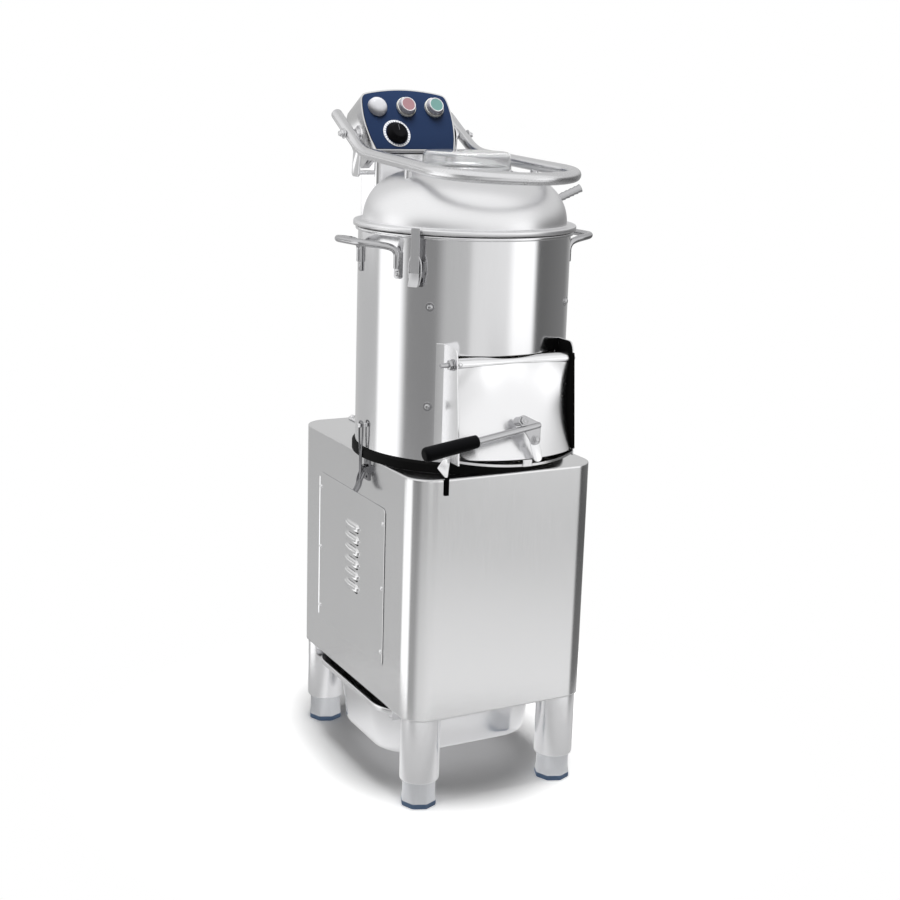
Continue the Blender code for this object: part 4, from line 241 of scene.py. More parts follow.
def rounded(width: float, height: float, radius: float, steps: int = 10,
            centre: Sequence[float] = (0, 0)) -> Array:
    """A rectangle with round corners: each corner's centre + radius (cos a, sin a) over a quarter turn.

    Args:
        width: Its whole width.
        height: Its whole height.
        radius: The radius of its corners.
        steps: Points along each corner.
        centre: Its middle.

    Returns:
        The outline's points, anticlockwise, each corner held by one more point on either side.
    """
    signs = np.array([(1, 1), (-1, 1), (-1, -1), (1, -1)], dtype=float)
    middles = signs * (width / 2 - radius, height / 2 - radius)
    a = np.linspace(0, QUARTER, steps) + (QUARTER * np.arange(4))[:, None]
    arcs = middles[:, None] + radius * np.stack([np.cos(a), np.sin(a)], axis=-1)
    grip = min(1.2 * MM, radius / 4)
    along = np.stack([np.sin(a[:, 0]), -np.cos(a[:, 0])], axis=-1) * grip
    ahead = np.stack([-np.sin(a[:, -1]), np.cos(a[:, -1])], axis=-1) * grip
    arcs = np.concatenate([arcs[:, :1] + along[:, None], arcs, arcs[:, -1:] + ahead[:, None]], axis=1)
    return np.asarray(centre) + arcs.reshape(-1, 2)


def belt(circles: Sequence[Sequence[float]], steps: int = 64) -> Array:
    """The outline that a belt takes round circles of (x, y, radius).

    For each direction n it is the point c + r n of the circle that reaches furthest along n.
    """
    rounds = np.asarray(circles, dtype=float)
    n = circle(1.0, steps)
    far = np.argmax(n @ rounds[:, :2].T + rounds[:, 2], axis=1)
    return rounds[far, :2] + rounds[far, 2:] * n


def inset(outline: Array, distance: float) -> Array:
    """Moves an anticlockwise outline inwards along the mean normal of each point's two sides."""
    side = np.roll(outline, -1, 0) - outline
    length = np.linalg.norm(side, axis=1, keepdims=True) + TINY
    normal = np.stack([side[:, 1], -side[:, 0]], axis=1) / length
    mean = normal + np.roll(normal, 1, 0)
    mean /= np.maximum((mean ** 2).sum(1, keepdims=True) / 2, 0.3)
    return outline - distance * mean


def storeys(rings: Sequence[tuple[Array, float | Array]]) -> Array:
    """A grid of points from outlines, each at its own height."""
    return np.stack([np.column_stack([ring, np.full(len(ring), height)]) for ring, height in rings])


def slab(outline: Array, low: float, high: float, edge: float = 0.0004, steps: int = 3) -> Shape:
    """A plate with round edges: its outline is drawn in by edge (1 - sin a) over a quarter turn at each face.

    Args:
        outline: The plate's outline.
        low: Its lower height.
        high: Its upper height.
        edge: The radius of its edges.
        steps: Points along each edge.

    Returns:
        The plate.
    """
    turn = np.roll(outline, -1, 0)
    if (outline[:, 0] * turn[:, 1] - turn[:, 0] * outline[:, 1]).sum() < 0:
        outline = outline[::-1]
    a = np.linspace(0, QUARTER, steps)
    draw, rise = edge * (1 - np.sin(a)), edge * (1 - np.cos(a))
    heights = np.concatenate([low + rise, (high - rise)[::-1]])
    rings = storeys([(inset(outline, d), z) for d, z in zip(np.concatenate([draw, draw[::-1]]), heights)])
    return Shape().grid(rings, wrap_v=True).lid(rings[0][::-1]).lid(rings[-1])


def turned(profile: Array, steps: int = 128, ring: bool = False) -> Shape:
    """A turned piece: each profile point (r, z) goes round as (r cos a, r sin a, z).

    Args:
        profile: The points of the section.
        steps: Points round the axis.
        ring: Whether the section closes on itself.

    Returns:
        The piece, about its own third axis.
    """
    r, z = np.asarray(profile, dtype=float).T
    round_axis = r[:, None, None] * circle(1.0, steps)
    height = np.broadcast_to(z[:, None, None], (len(r), steps, 1))
    return Shape().grid(np.concatenate([round_axis, height], axis=-1), wrap_u=ring, wrap_v=True)


def bar(path: Array, radius: float | Array, sides: int = 28) -> Shape:
    """A round bar along a path: each point P of it carries the circle P + r (cos a N + sin a B).

    N and B are carried along so that they turn as little as they can. At the ends the radius falls by a
    quarter as sin a does, over four rings that lie close together.

    Args:
        path: The points of its centre line.
        radius: Its radius, one value or one for each point.
        sides: Points round it.

    Returns:
        The bar.
    """
    fall, rings = 0.25, 4
    line = np.asarray(path, dtype=float)
    radii = np.broadcast_to(np.asarray(radius, dtype=float), (len(line),))
    tangent = np.gradient(line, axis=0)
    tangent /= np.linalg.norm(tangent, axis=1, keepdims=True)
    normal = np.zeros_like(tangent)
    seed = np.eye(3)[np.argmin(np.abs(tangent[0]))]
    normal[0] = seed - tangent[0] * (seed @ tangent[0])
    for k in range(1, len(line)):
        normal[k] = normal[k - 1] - tangent[k] * (normal[k - 1] @ tangent[k])
    normal /= np.linalg.norm(normal, axis=1, keepdims=True)
    a = np.linspace(0, QUARTER, rings)
    swell = 1 - fall + fall * np.sin(a)
    rise = ((1 - np.cos(a)) * fall)[:, None]
    line = np.vstack([line[0] + tangent[0] * radii[0] * rise, line[1:-1],
                      line[-1] - tangent[-1] * radii[-1] * rise[::-1]])
    radii = np.concatenate([radii[0] * swell, radii[1:-1], radii[-1] * swell[::-1]])
    normal, tangent = [np.vstack([np.repeat(way[:1], rings, 0), way[1:-1], np.repeat(way[-1:], rings, 0)])
                       for way in (normal, tangent)]
    binormal = np.cross(tangent, normal)
    a = np.linspace(0, 2 * math.pi, sides, endpoint=False)[None, :, None]
    spokes = np.cos(a) * normal[:, None] + np.sin(a) * binormal[:, None]
    surface = line[:, None] + radii[:, None, None] * spokes
    return Shape().grid(surface, wrap_v=True).lid(surface[0]).lid(surface[-1])


def pin(radius: float, half: float) -> Shape:
    """A short pin with eased ends, about its own third axis."""
    section = [(0, -half), (radius, -half), (radius, half), (0, half)]
    return turned(eased(section, [0, 0.0005, 0.0005, 0], 4), 16)


def nut(radius: float, low: float, high: float) -> Shape:
    """A six-sided nut with eased edges, about its own third axis."""
    return slab(circle(radius, 6), low, high, 0.7 * MM)


def box(size: Triple, centre: Triple, edge: float) -> Shape:
    """A block with eased edges about a centre."""
    corners = np.array([(1, 1), (-1, 1), (-1, -1), (1, -1)]) * np.asarray(size[:2]) / 2 + centre[:2]
    return slab(eased(corners, edge * 2, 3, True), centre[2] - size[2] / 2, centre[2] + size[2] / 2, edge)


class Signal:
    """A value in a material, on which shader sums are written as ordinary expressions."""

    def __init__(self, board: "Board", socket: bpy.types.NodeSocket) -> None:
        """Wraps a socket of a board."""
        self.board = board
        self.socket = socket

    def __add__(self, other: Any) -> "Signal":
        """self + other."""
        return self.board.maths("ADD", self, other)

    def __sub__(self, other: Any) -> "Signal":
        """self - other."""
        return self.board.maths("SUBTRACT", self, other)

    def __rsub__(self, other: Any) -> "Signal":
        """other - self."""
        return self.board.maths("SUBTRACT", other, self)

    def __mul__(self, other: Any) -> "Signal":
        """self * other."""
        return self.board.maths("MULTIPLY", self, other)

    __radd__ = __add__
    __rmul__ = __mul__

    def root(self) -> "Signal":
        """The square root."""
        return self.board.maths("SQRT", self)

    def step(self, low: float, high: float) -> "Signal":
        """0 below low and 1 above high, with a smooth rise between them."""
        settings = {"interpolation_type": "SMOOTHSTEP"}
        return self.board.node("ShaderNodeMapRange", settings, {0: self, 1: low, 2: high})

    def between(self, rise: Sequence[float], fall: Sequence[float]) -> "Signal":
        """1 between a smooth rise and a smooth fall, and 0 outside them."""
        return self.step(*rise) * (1.0 - self.step(*fall))


class Board:
    """A material's node tree while it is put together."""

    def __init__(self, owner: Any) -> None:
        """Empties the node tree of a new material or world."""
        owner.use_nodes = True
        self.tree = owner.node_tree
        self.tree.nodes.clear()

    def node(self, kind: str, settings: dict[str, Any] | None = None, inputs: dict[Any, Any] | None = None,
             output: int | str = 0) -> "Signal | None":
        """Adds one node.

        Args:
            kind: The node's type.
            settings: Its own settings, set first. "stops" holds a ramp's (place, colour) pairs.
            inputs: Values or signals for its sockets, by name or number.
            output: Which of its outputs is wanted.

        Returns:
            The wanted output, or nothing where the node ends the board.
        """
        made = self.tree.nodes.new(kind)
        for name, value in (settings or {}).items():
            if name == "stops":
                ramp = made.color_ramp.elements
                while len(ramp) < len(value):
                    ramp.new(0.5)
                for element, (place, colour) in zip(ramp, value):
                    element.position = place
                    element.color = (*colour, 1.0)
            else:
                setattr(made, name, value)
        for name, value in (inputs or {}).items():
            socket = made.inputs[name]
            if isinstance(value, Signal):
                self.tree.links.new(value.socket, socket)
            else:
                socket.default_value = value
        return Signal(self, made.outputs[output]) if made.outputs else None

    def maths(self, operation: str, *values: Any) -> Signal:
        """A Math node on the values."""
        return self.node("ShaderNodeMath", {"operation": operation}, dict(enumerate(values)))

    def vector(self, operation: str, *values: Any, output: int | str = 0) -> Signal:
        """A Vector Math node on the values."""
        return self.node("ShaderNodeVectorMath", {"operation": operation}, dict(enumerate(values)), output)

    def ray(self, kind: str) -> Signal:
        """1 for rays of a kind, such as Camera or Glossy."""
        return self.node("ShaderNodeLightPath", output=f"Is {kind} Ray")

    def place(self) -> Signal:
        """The point being shaded, in the machine's own metres."""
        return self.node("ShaderNodeTexCoord", output="Object")

    def noise(self, size: float, detail: float = 2.0, scale: Sequence[float] = (1, 1, 1)) -> Signal:
        """Cloudy noise over the shaded point, from 0 to 1, with each direction scaled."""
        point = self.node("ShaderNodeMapping", {}, {"Vector": self.place(), "Scale": tuple(scale)})
        return self.node("ShaderNodeTexNoise", {}, {"Vector": point, "Scale": size, "Detail": detail})

    def dot(self, place: Sequence[float], direction: Sequence[float]) -> Signal:
        """How far the shaded point lies from a place along a direction."""
        moved = self.vector("SUBTRACT", self.place(), tuple(place))
        return self.vector("DOT_PRODUCT", moved, tuple(direction), output="Value")

    def mix(self, share: Any, low: Sequence[float] | Signal, high: Sequence[float] | Signal) -> Signal:
        """A colour that goes from low to high with the share."""
        ends = [end if isinstance(end, Signal) else (*end, 1.0) for end in (low, high)]
        return self.node("ShaderNodeMix", {"data_type": "RGBA"}, {0: share, 6: ends[0], 7: ends[1]}, 2)

    def bump(self, height: Signal, strength: float, distance: float = 0.0003) -> Signal:
        """The normal over a height."""
        return self.node("ShaderNodeBump", {}, {"Strength": strength, "Distance": distance, "Height": height})

    def surface(self, **inputs: Any) -> None:
        """Ends the board with a Principled surface, whose socket names have spaces for underscores."""
        values = {name.replace("_", " "): value for name, value in inputs.items()}
        self.end(self.node("ShaderNodeBsdfPrincipled", {}, values))

    def end(self, shader: Signal, kind: str = "Material") -> None:
        """Ends the board of a material or a world with a shader."""
        self.node("ShaderNodeOutput" + kind, {}, {"Surface": shader})


@dataclass(frozen=True)
class Finish:
    """What a surface is made of. Each kind paints its own board."""

    name: str
    colour: Triple
    roughness: float = 0.3

    def paint(self, board: Board) -> None:
        """Fills a board with this finish."""
        raise NotImplementedError

    def material(self) -> bpy.types.Material:
        """The finish's material, made once."""
        found = bpy.data.materials.get(self.name)
        if found:
            return found
        made = bpy.data.materials.new(self.name)
        self.paint(Board(made))
        return made

    def spread(self, board: Board, share: Signal, dark: float, light: float,
               colour: Triple | None = None) -> Signal:
        """A colour that goes from a darker to a lighter shade with a share.

        Args:
            board: The board that is painted.
            share: The share, from 0 to 1.
            dark: The factor of the darker shade.
            light: The factor of the lighter shade.
            colour: The colour, the finish's own if not given.

        Returns:
            The shaded colour.
        """
        base = colour or self.colour
        ends = [tuple(min(1.0, value * factor) for value in base) for factor in (dark, light)]
        return board.mix(share, *ends)


@dataclass(frozen=True)
class Steel(Finish):
    """Stainless sheet or bar with fine grinding lines, faint cloudy wear and tiny marks."""

    grain: Grain = Grain.UP
    depth: float = 0.05
    cloud: float = 0.05
    line_size: float = 14.0
    thread_size: float = 52.0
    cloud_size: float = 7.0
    mark_size: float = 160.0
    marked: Pair = (0.66, 0.80)

    def paint(self, board: Board) -> None:
        """Lines stretched along the grain vary roughness, colour and height; clouds vary the roughness."""
        lines = board.noise(self.line_size, 3.0, self.grain.value)
        threads = board.noise(self.thread_size, 1.0, self.grain.value)
        cloud = board.noise(self.cloud_size, 3.0)
        marks = board.noise(self.mark_size).step(*self.marked)
        mixed = lines * 0.6 + threads * 0.4
        rough = (mixed - 0.5) * (self.depth * 2) + (cloud - 0.5) * (self.cloud * 2) + marks * 0.04
        board.surface(Base_Color=self.spread(board, mixed * 0.7 + cloud * 0.3, 0.93, 1.05), Metallic=1.0,
                      Roughness=self.roughness + rough, Normal=board.bump(mixed, self.depth * 1.2))


@dataclass(frozen=True)
class Pad(Finish):
    """A steel foot with a blue-grey moulded pad under it."""

    pad: Triple = (0.15, 0.24, 0.40)
    pad_height: float = 0.0080
    seam: float = 0.0007
    waver: float = 0.0004

    def paint(self, board: Board) -> None:
        """The height above the floor parts the pad from the metal."""
        rise = board.dot((0, 0, 0), (0, 0, 1)) + board.noise(40.0) * self.waver
        metal = rise.step(self.pad_height, self.pad_height + self.seam)
        lines = board.noise(20.0, 2.0, Grain.UP.value)
        colour = board.mix(metal, self.pad, self.spread(board, lines, 0.92, 1.04))
        board.surface(Base_Color=colour, Metallic=metal, Roughness=0.55 - metal * 0.27 + lines * 0.05,
                      Normal=board.bump(lines, 0.06))


@dataclass(frozen=True)
class Moulded(Finish):
    """Rubber, plastic or paint: one colour with a faint orange peel and dusty variation."""

    peel: float = 0.12
    size: float = 420.0
    fleck: float = 0.06
    coat: float = 0.0
    gloss: float = 0.35

    def paint(self, board: Board) -> None:
        """Fine noise gives the peel, and a broad noise the variation."""
        peel, cloud = board.noise(self.size), board.noise(18.0, 3.0)
        board.surface(Base_Color=self.spread(board, cloud, 1 - self.fleck, 1 + self.fleck),
                      Roughness=self.roughness + (cloud - 0.5) * 0.1 + (peel - 0.5) * 0.08,
                      Coat_Weight=self.coat, Coat_Roughness=0.15, Specular_IOR_Level=self.gloss,
                      Normal=board.bump(peel, self.peel))


@dataclass(frozen=True)
class Clear(Finish):
    """Clear moulded plastic, a little milky and scuffed."""

    passing: float = 0.82
    index: float = 1.45

    def paint(self, board: Board) -> None:
        """Scuffs from a fine noise raise the roughness of the clear body."""
        scuff = board.noise(60.0, 4.0)
        board.surface(Base_Color=self.spread(board, scuff, 0.97, 1.03),
                      Roughness=self.roughness + scuff * 0.06,
                      Transmission_Weight=self.passing, IOR=self.index,
                      Normal=board.bump(scuff, 0.05, 0.0004))


@dataclass(frozen=True)
class Grit(Finish):
    """Coarse abrasive grains set in dark resin."""

    grain_size: float = 700.0
    speck_size: float = 900.0

    def paint(self, board: Board) -> None:
        """Cells give the grains their height; painted shade makes the colour follow it, darker where the
        surface is low and lighter where it is high, with specks for random tone.
        """
        cells = board.node("ShaderNodeTexVoronoi", {}, {"Vector": board.place(), "Scale": self.grain_size},
                           "Distance")
        specks = board.noise(self.speck_size)
        board.surface(Base_Color=self.spread(board, specks * 0.6 + cells * 0.4, 0.5, 1.7),
                      Roughness=self.roughness - cells * 0.15,
                      Normal=board.bump(cells + specks * 0.5, 0.7, 0.0008))


@dataclass(frozen=True)
class Boot(Finish):
    """A push button under a clear boot: a coloured face, a light rim line and lilac-grey sides."""

    centre: Triple = (0.0, 0.0, 0.0)
    out: Triple = (0.0, 0.0, 1.0)
    face_radius: float = 0.0105
    side: Triple = (0.50, 0.49, 0.53)
    rim: Triple = (0.86, 0.84, 0.85)

    def paint(self, board: Board) -> None:
        """The distance from the button's axis parts the face, the rim line and the sides."""
        span = board.vector("LENGTH", board.vector("SUBTRACT", board.place(), self.centre), output="Value")
        rise = board.dot(self.centre, self.out)
        away = (span * span - rise * rise + 1e-9).root()
        edge = self.face_radius
        face = 1.0 - away.step(edge, edge + 0.5 * MM)
        line = away.between((edge - 0.2 * MM, edge + 0.4 * MM), (edge + 0.7 * MM, edge + 1.3 * MM))
        cloud = board.noise(90.0, 3.0)
        glow, sides = self.spread(board, cloud, 0.92, 1.08), self.spread(board, cloud, 0.88, 1.1, self.side)
        board.surface(Base_Color=board.mix(line * 0.8, board.mix(face, sides, glow), self.rim),
                      Roughness=self.roughness + cloud * 0.1, Coat_Weight=0.35, Coat_Roughness=0.2,
                      Normal=board.bump(cloud, 0.05))


@dataclass(frozen=True)
class Dial(Finish):
    """A white dial ring with dark marks round it."""

    centre: Triple = (0.0, 0.0, 0.0)
    across: Triple = (1.0, 0.0, 0.0)
    up: Triple = (0.0, 1.0, 0.0)
    marks: int = 30
    mark_end: Pair = (0.0218, 0.0223)
    ink: Triple = (0.05, 0.06, 0.10)

    def paint(self, board: Board) -> None:
        """The angle round the dial times the count makes the marks; the distance keeps them by the knob."""
        x, y = board.dot(self.centre, self.across), board.dot(self.centre, self.up)
        wave = board.maths("COSINE", board.maths("ARCTAN2", y, x) * float(self.marks))
        mark = wave.step(0.62, 0.85) * (1.0 - (x * x + y * y).root().step(*self.mark_end))
        cloud = board.noise(60.0)
        board.surface(Base_Color=board.mix(mark * 0.85, self.spread(board, cloud, 0.96, 1.02), self.ink),
                      Roughness=self.roughness, Normal=board.bump(cloud, 0.03))


DRUM_STEEL = Steel("drum_steel", (0.80, 0.80, 0.81), 0.14, Grain.UP, 0.025, 0.03)
COLUMN_STEEL = Steel("column_steel", (0.86, 0.86, 0.87), 0.13, Grain.UP, 0.03, 0.03)
DOME_STEEL = Steel("dome_steel", (0.87, 0.87, 0.88), 0.35, Grain.ROUND, 0.04, 0.03)
SHEET_STEEL = Steel("sheet_steel", (0.73, 0.73, 0.735), 0.18, Grain.UP, 0.03, 0.025)
TRIM_STEEL = Steel("trim_steel", (0.78, 0.78, 0.79), 0.18, Grain.NONE, 0.02, 0.03)
TUBE_STEEL = Steel("tube_steel", (0.73, 0.73, 0.74), 0.26, Grain.NONE, 0.05, 0.05)
STRAP_STEEL = Steel("strap_steel", (0.62, 0.62, 0.63), 0.36, Grain.UP, 0.03, 0.03)
# Painted shade: the latches' steel is darkened to stand in for the dark reflections that they show.
LATCH_STEEL_PAINTED_SHADE = Steel("latch_steel_painted_shade", (0.24, 0.24, 0.25), 0.17, Grain.NONE, 0.02, 0.03)
# Painted shade: the fittings' steel is darkened to stand in for the dark reflections that they show.
FITTING_STEEL_PAINTED_SHADE = Steel("fitting_steel_painted_shade", (0.50, 0.50, 0.51), 0.19, Grain.NONE, 0.02, 0.03)
DARK_STEEL = Steel("dark_steel", (0.16, 0.16, 0.17), 0.35, Grain.NONE, 0.05, 0.05)
POLISHED = Steel("polished_steel", (0.88, 0.88, 0.89), 0.24, Grain.UP, 0.02, 0.03)
LEG_STEEL = Steel("leg_steel", (0.79, 0.79, 0.80), 0.20, Grain.UP, 0.035, 0.03)
FOOT = Pad("foot_steel", (0.66, 0.67, 0.69), 0.3)
CASTING = Moulded("grey_casting", (0.24, 0.25, 0.27), 0.55, 0.5, 260.0, 0.14)
RUBBER = Moulded("black_rubber", (0.006, 0.006, 0.006), 0.65, 0.15, gloss=0.08)
BLACK = Moulded("black_moulding", (0.007, 0.007, 0.008), 0.42, 0.10, 500.0, 0.1, gloss=0.04)
NAVY = Moulded("navy_panel", (0.0165, 0.0315, 0.078), 0.42, 0.06, 700.0, 0.05, gloss=0.10)
LAMP = Moulded("lamp_lens", (0.56, 0.56, 0.585), 0.30, 0.05, 200.0, 0.05, 0.2)
UNIT = Moulded("pale_unit", (0.72, 0.71, 0.66), 0.45, 0.1)
MOTOR = Moulded("motor_paint", (0.17, 0.19, 0.22), 0.42, 0.3, 220.0, 0.08)
CLEAR = Clear("clear_plastic", (0.93, 0.935, 0.94), 0.03)
GRIT = Grit("abrasive_grit", (0.20, 0.185, 0.17), 0.85)
# Painted shade: a plain black that stands in for shade in the louvres' mouths, on the chute's right cheek and
# in the slot under the chute.
DARK = Moulded("painted_shade_black", (0.004, 0.004, 0.004), 0.8, 0.1, gloss=0.05)


def weld(shape: Shape, name: str, sharp: float = SOFT_ANGLE) -> bpy.types.Object:
    """Makes a shape a mesh object: doubles merged, faces outwards, and edges sharp past an angle.

    Args:
        shape: The points and faces, from the drum's axis.
        name: The object's name.
        sharp: The angle in degrees past which an edge stays sharp.

    Returns:
        The object, with its place in its mesh.
    """
    points = np.concatenate(shape.points) + (0.0, AXIS_Y, 0.0)
    mesh = bpy.data.meshes.new(name)
    mesh.from_pydata(points, [], shape.faces)
    work = bmesh.new()
    work.from_mesh(mesh)
    bmesh.ops.remove_doubles(work, verts=work.verts, dist=DOUBLES)
    bmesh.ops.dissolve_degenerate(work, edges=work.edges, dist=SLIVERS)
    bmesh.ops.recalc_face_normals(work, faces=work.faces)
    work.to_mesh(mesh)
    work.free()
    mesh.shade_smooth()
    mesh.set_sharp_from_angle(angle=math.radians(sharp))
    made = bpy.data.objects.new(name, mesh)
    bpy.context.scene.collection.objects.link(made)
    return made


def fit(name: str, shape: Shape, finish: Finish, body: str, nodes: Sequence[str] = (),
        wall: float = 0.0, sharp: float = SOFT_ANGLE) -> bpy.types.Object:
    """Fits a finished piece to the machine.

    Args:
        name: The piece's name.
        shape: Its points and faces.
        finish: Its finish.
        body: The moving body that it rides on.
        nodes: The solids that it stands for.
        wall: The thickness of a sheet that is given as one surface.
        sharp: The angle past which its edges stay sharp.

    Returns:
        The piece.
    """
    made = weld(shape, name, sharp)
    made.data.materials.append(finish.material())
    if wall:
        sheet = made.modifiers.new("wall", "SOLIDIFY")
        sheet.thickness = wall
        sheet.offset = -1.0
    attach(made, body)
    if nodes:
        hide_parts(*nodes)
    LOG.info("%s: %d faces", name, len(made.data.polygons))
    return made


@dataclass
class Undercarriage:
    """The four legs, their screw feet, the basin and its runners."""

    leg_x: float = 0.1185
    leg_front: float = -0.1291
    leg_back: float = 0.2271
    foot_top: float = 0.042
    leg_top: float = 0.144
    leg_radius: float = 0.030
    middle: float = 0.049
    basin_half: Pair = (0.160, 0.144)
    bowl_half: Pair = (0.1422, 0.1138)
    rim: float = 0.1365
    skirt: float = 0.0075
    bowl_depth: float = 0.096
    draft: float = 0.0105
    sheet: float = 0.0015
    bowl_foot: float = 0.0138

    def build(self) -> None:
        """Builds the legs, feet and basin."""
        rows = (("front", self.leg_front), ("back", self.leg_back))
        places = {f"{row}_{side}": (sign * self.leg_x, y) for row, y in rows
                  for side, sign in zip(("left", "right"), SIDES)}
        for name, (x, y) in places.items():
            stand = Place((x, y, 0))
            fit("leg_tube_" + name, self.leg().laid(stand), LEG_STEEL, "machine", ["leg_" + name])
            fit("screw_foot_" + name, self.flats(self.foot()).laid(stand), FOOT, "foot_" + name,
                ["foot_" + name])
        fit("basin_pressing", self.basin(), TRIM_STEEL, "basin", ["peel_basin"])

    def leg(self) -> Shape:
        """A tube with a rolled lower end and a closed top."""
        low, top, r, wall = self.foot_top + 0.0003, self.leg_top, self.leg_radius, 0.0016
        section = [(0, top), (r, top), (r, low), (r - 0.004, low), (r - 0.004, low + 0.006),
                   (0.0103, low + 0.006),
                   (0.0103, low + 0.010), (r - wall, low + 0.010), (r - wall, top - wall), (0, top - wall)]
        return turned(eased(section, [0, 0.0004, 0.0016, 0.001, 0, 0, 0, 0, 0, 0]), 72)

    def foot(self) -> Shape:
        """A flared foot on a threaded stem: the thread is a ripple of the stem's radius along its height."""
        top, core, ripple, pitch = self.foot_top, 0.0094, 0.0005, 0.002
        z = np.linspace(top + 0.068, top + 0.001, 90)
        stem = np.column_stack([core + ripple * np.cos(2 * math.pi * z / pitch), z])
        body = eased([(0.0098, top), (0.0248, top), (0.0252, top - 0.006), (0.0253, 0.020), (0.0275, 0.0085),
                      (0.0275, 0.0), (0, 0)], [0, 0.0015, 0.004, 0.010, 0.004, 0.0018, 0], 7)
        cap = [(0, top + 0.070), (0.0088, top + 0.070)]
        return turned(np.vstack([cap, stem, body]), 96)

    def flats(self, foot: Shape) -> Shape:
        """Eight flats on the flare: low down the radius goes to r cos(c) / cos(a), a from a flat's middle."""
        half, wide, start, run = math.pi / 8, 1.02, 0.024, 0.016
        points = foot.points[0]
        angle = np.arctan2(points[:, 1], points[:, 0]) % (2 * half) - half
        flat = wide * math.cos(half) / np.cos(angle)
        share = np.clip((start - points[:, 2]) / run, 0, 1)
        size = 1 - share * (1 - np.minimum(flat, 1.0))
        foot.points[0] = points * np.stack([size, size, np.ones_like(size)], axis=1)
        return foot

    def basin(self) -> Shape:
        """A pressed basin: rings of a rounded rectangle run over its bowl, rim and turned-down skirt."""
        (hx, hy), (bx, by), s = self.basin_half, self.bowl_half, self.sheet
        floor, rim, low = self.rim - self.bowl_depth, self.rim, self.rim - self.skirt
        d, foot = self.draft, self.bowl_foot
        inner = [(bx - s - d - foot, by - s - d - foot, 0.0530, floor + s),
                 (bx - s - d, by - s - d, 0.0545, floor + s), (bx - s, by - s, 0.0645, rim),
                 (hx, hy, 0.052, rim), (hx, hy, 0.052, low)]
        outer = [(hx - s, hy - s, 0.0505, low), (hx - s, hy - s, 0.0505, rim - s), (bx, by, 0.066, rim - s),
                 (bx - d, by - d, 0.056, floor), (bx - d - foot, by - d - foot, 0.0545, floor)]
        radii = [0, 0.011, 0.0035, 0.0022, 0.0005, 0.0005, 0.0012, 0.0035, 0.0125, 0]
        points = storeys([(rounded(2 * x, 2 * y, r, 14, (0, self.middle)), z)
                          for x, y, r, z in eased(inner + outer, radii, 6)])
        return Shape().grid(points, wrap_v=True).lid(points[0]).lid(points[-1])


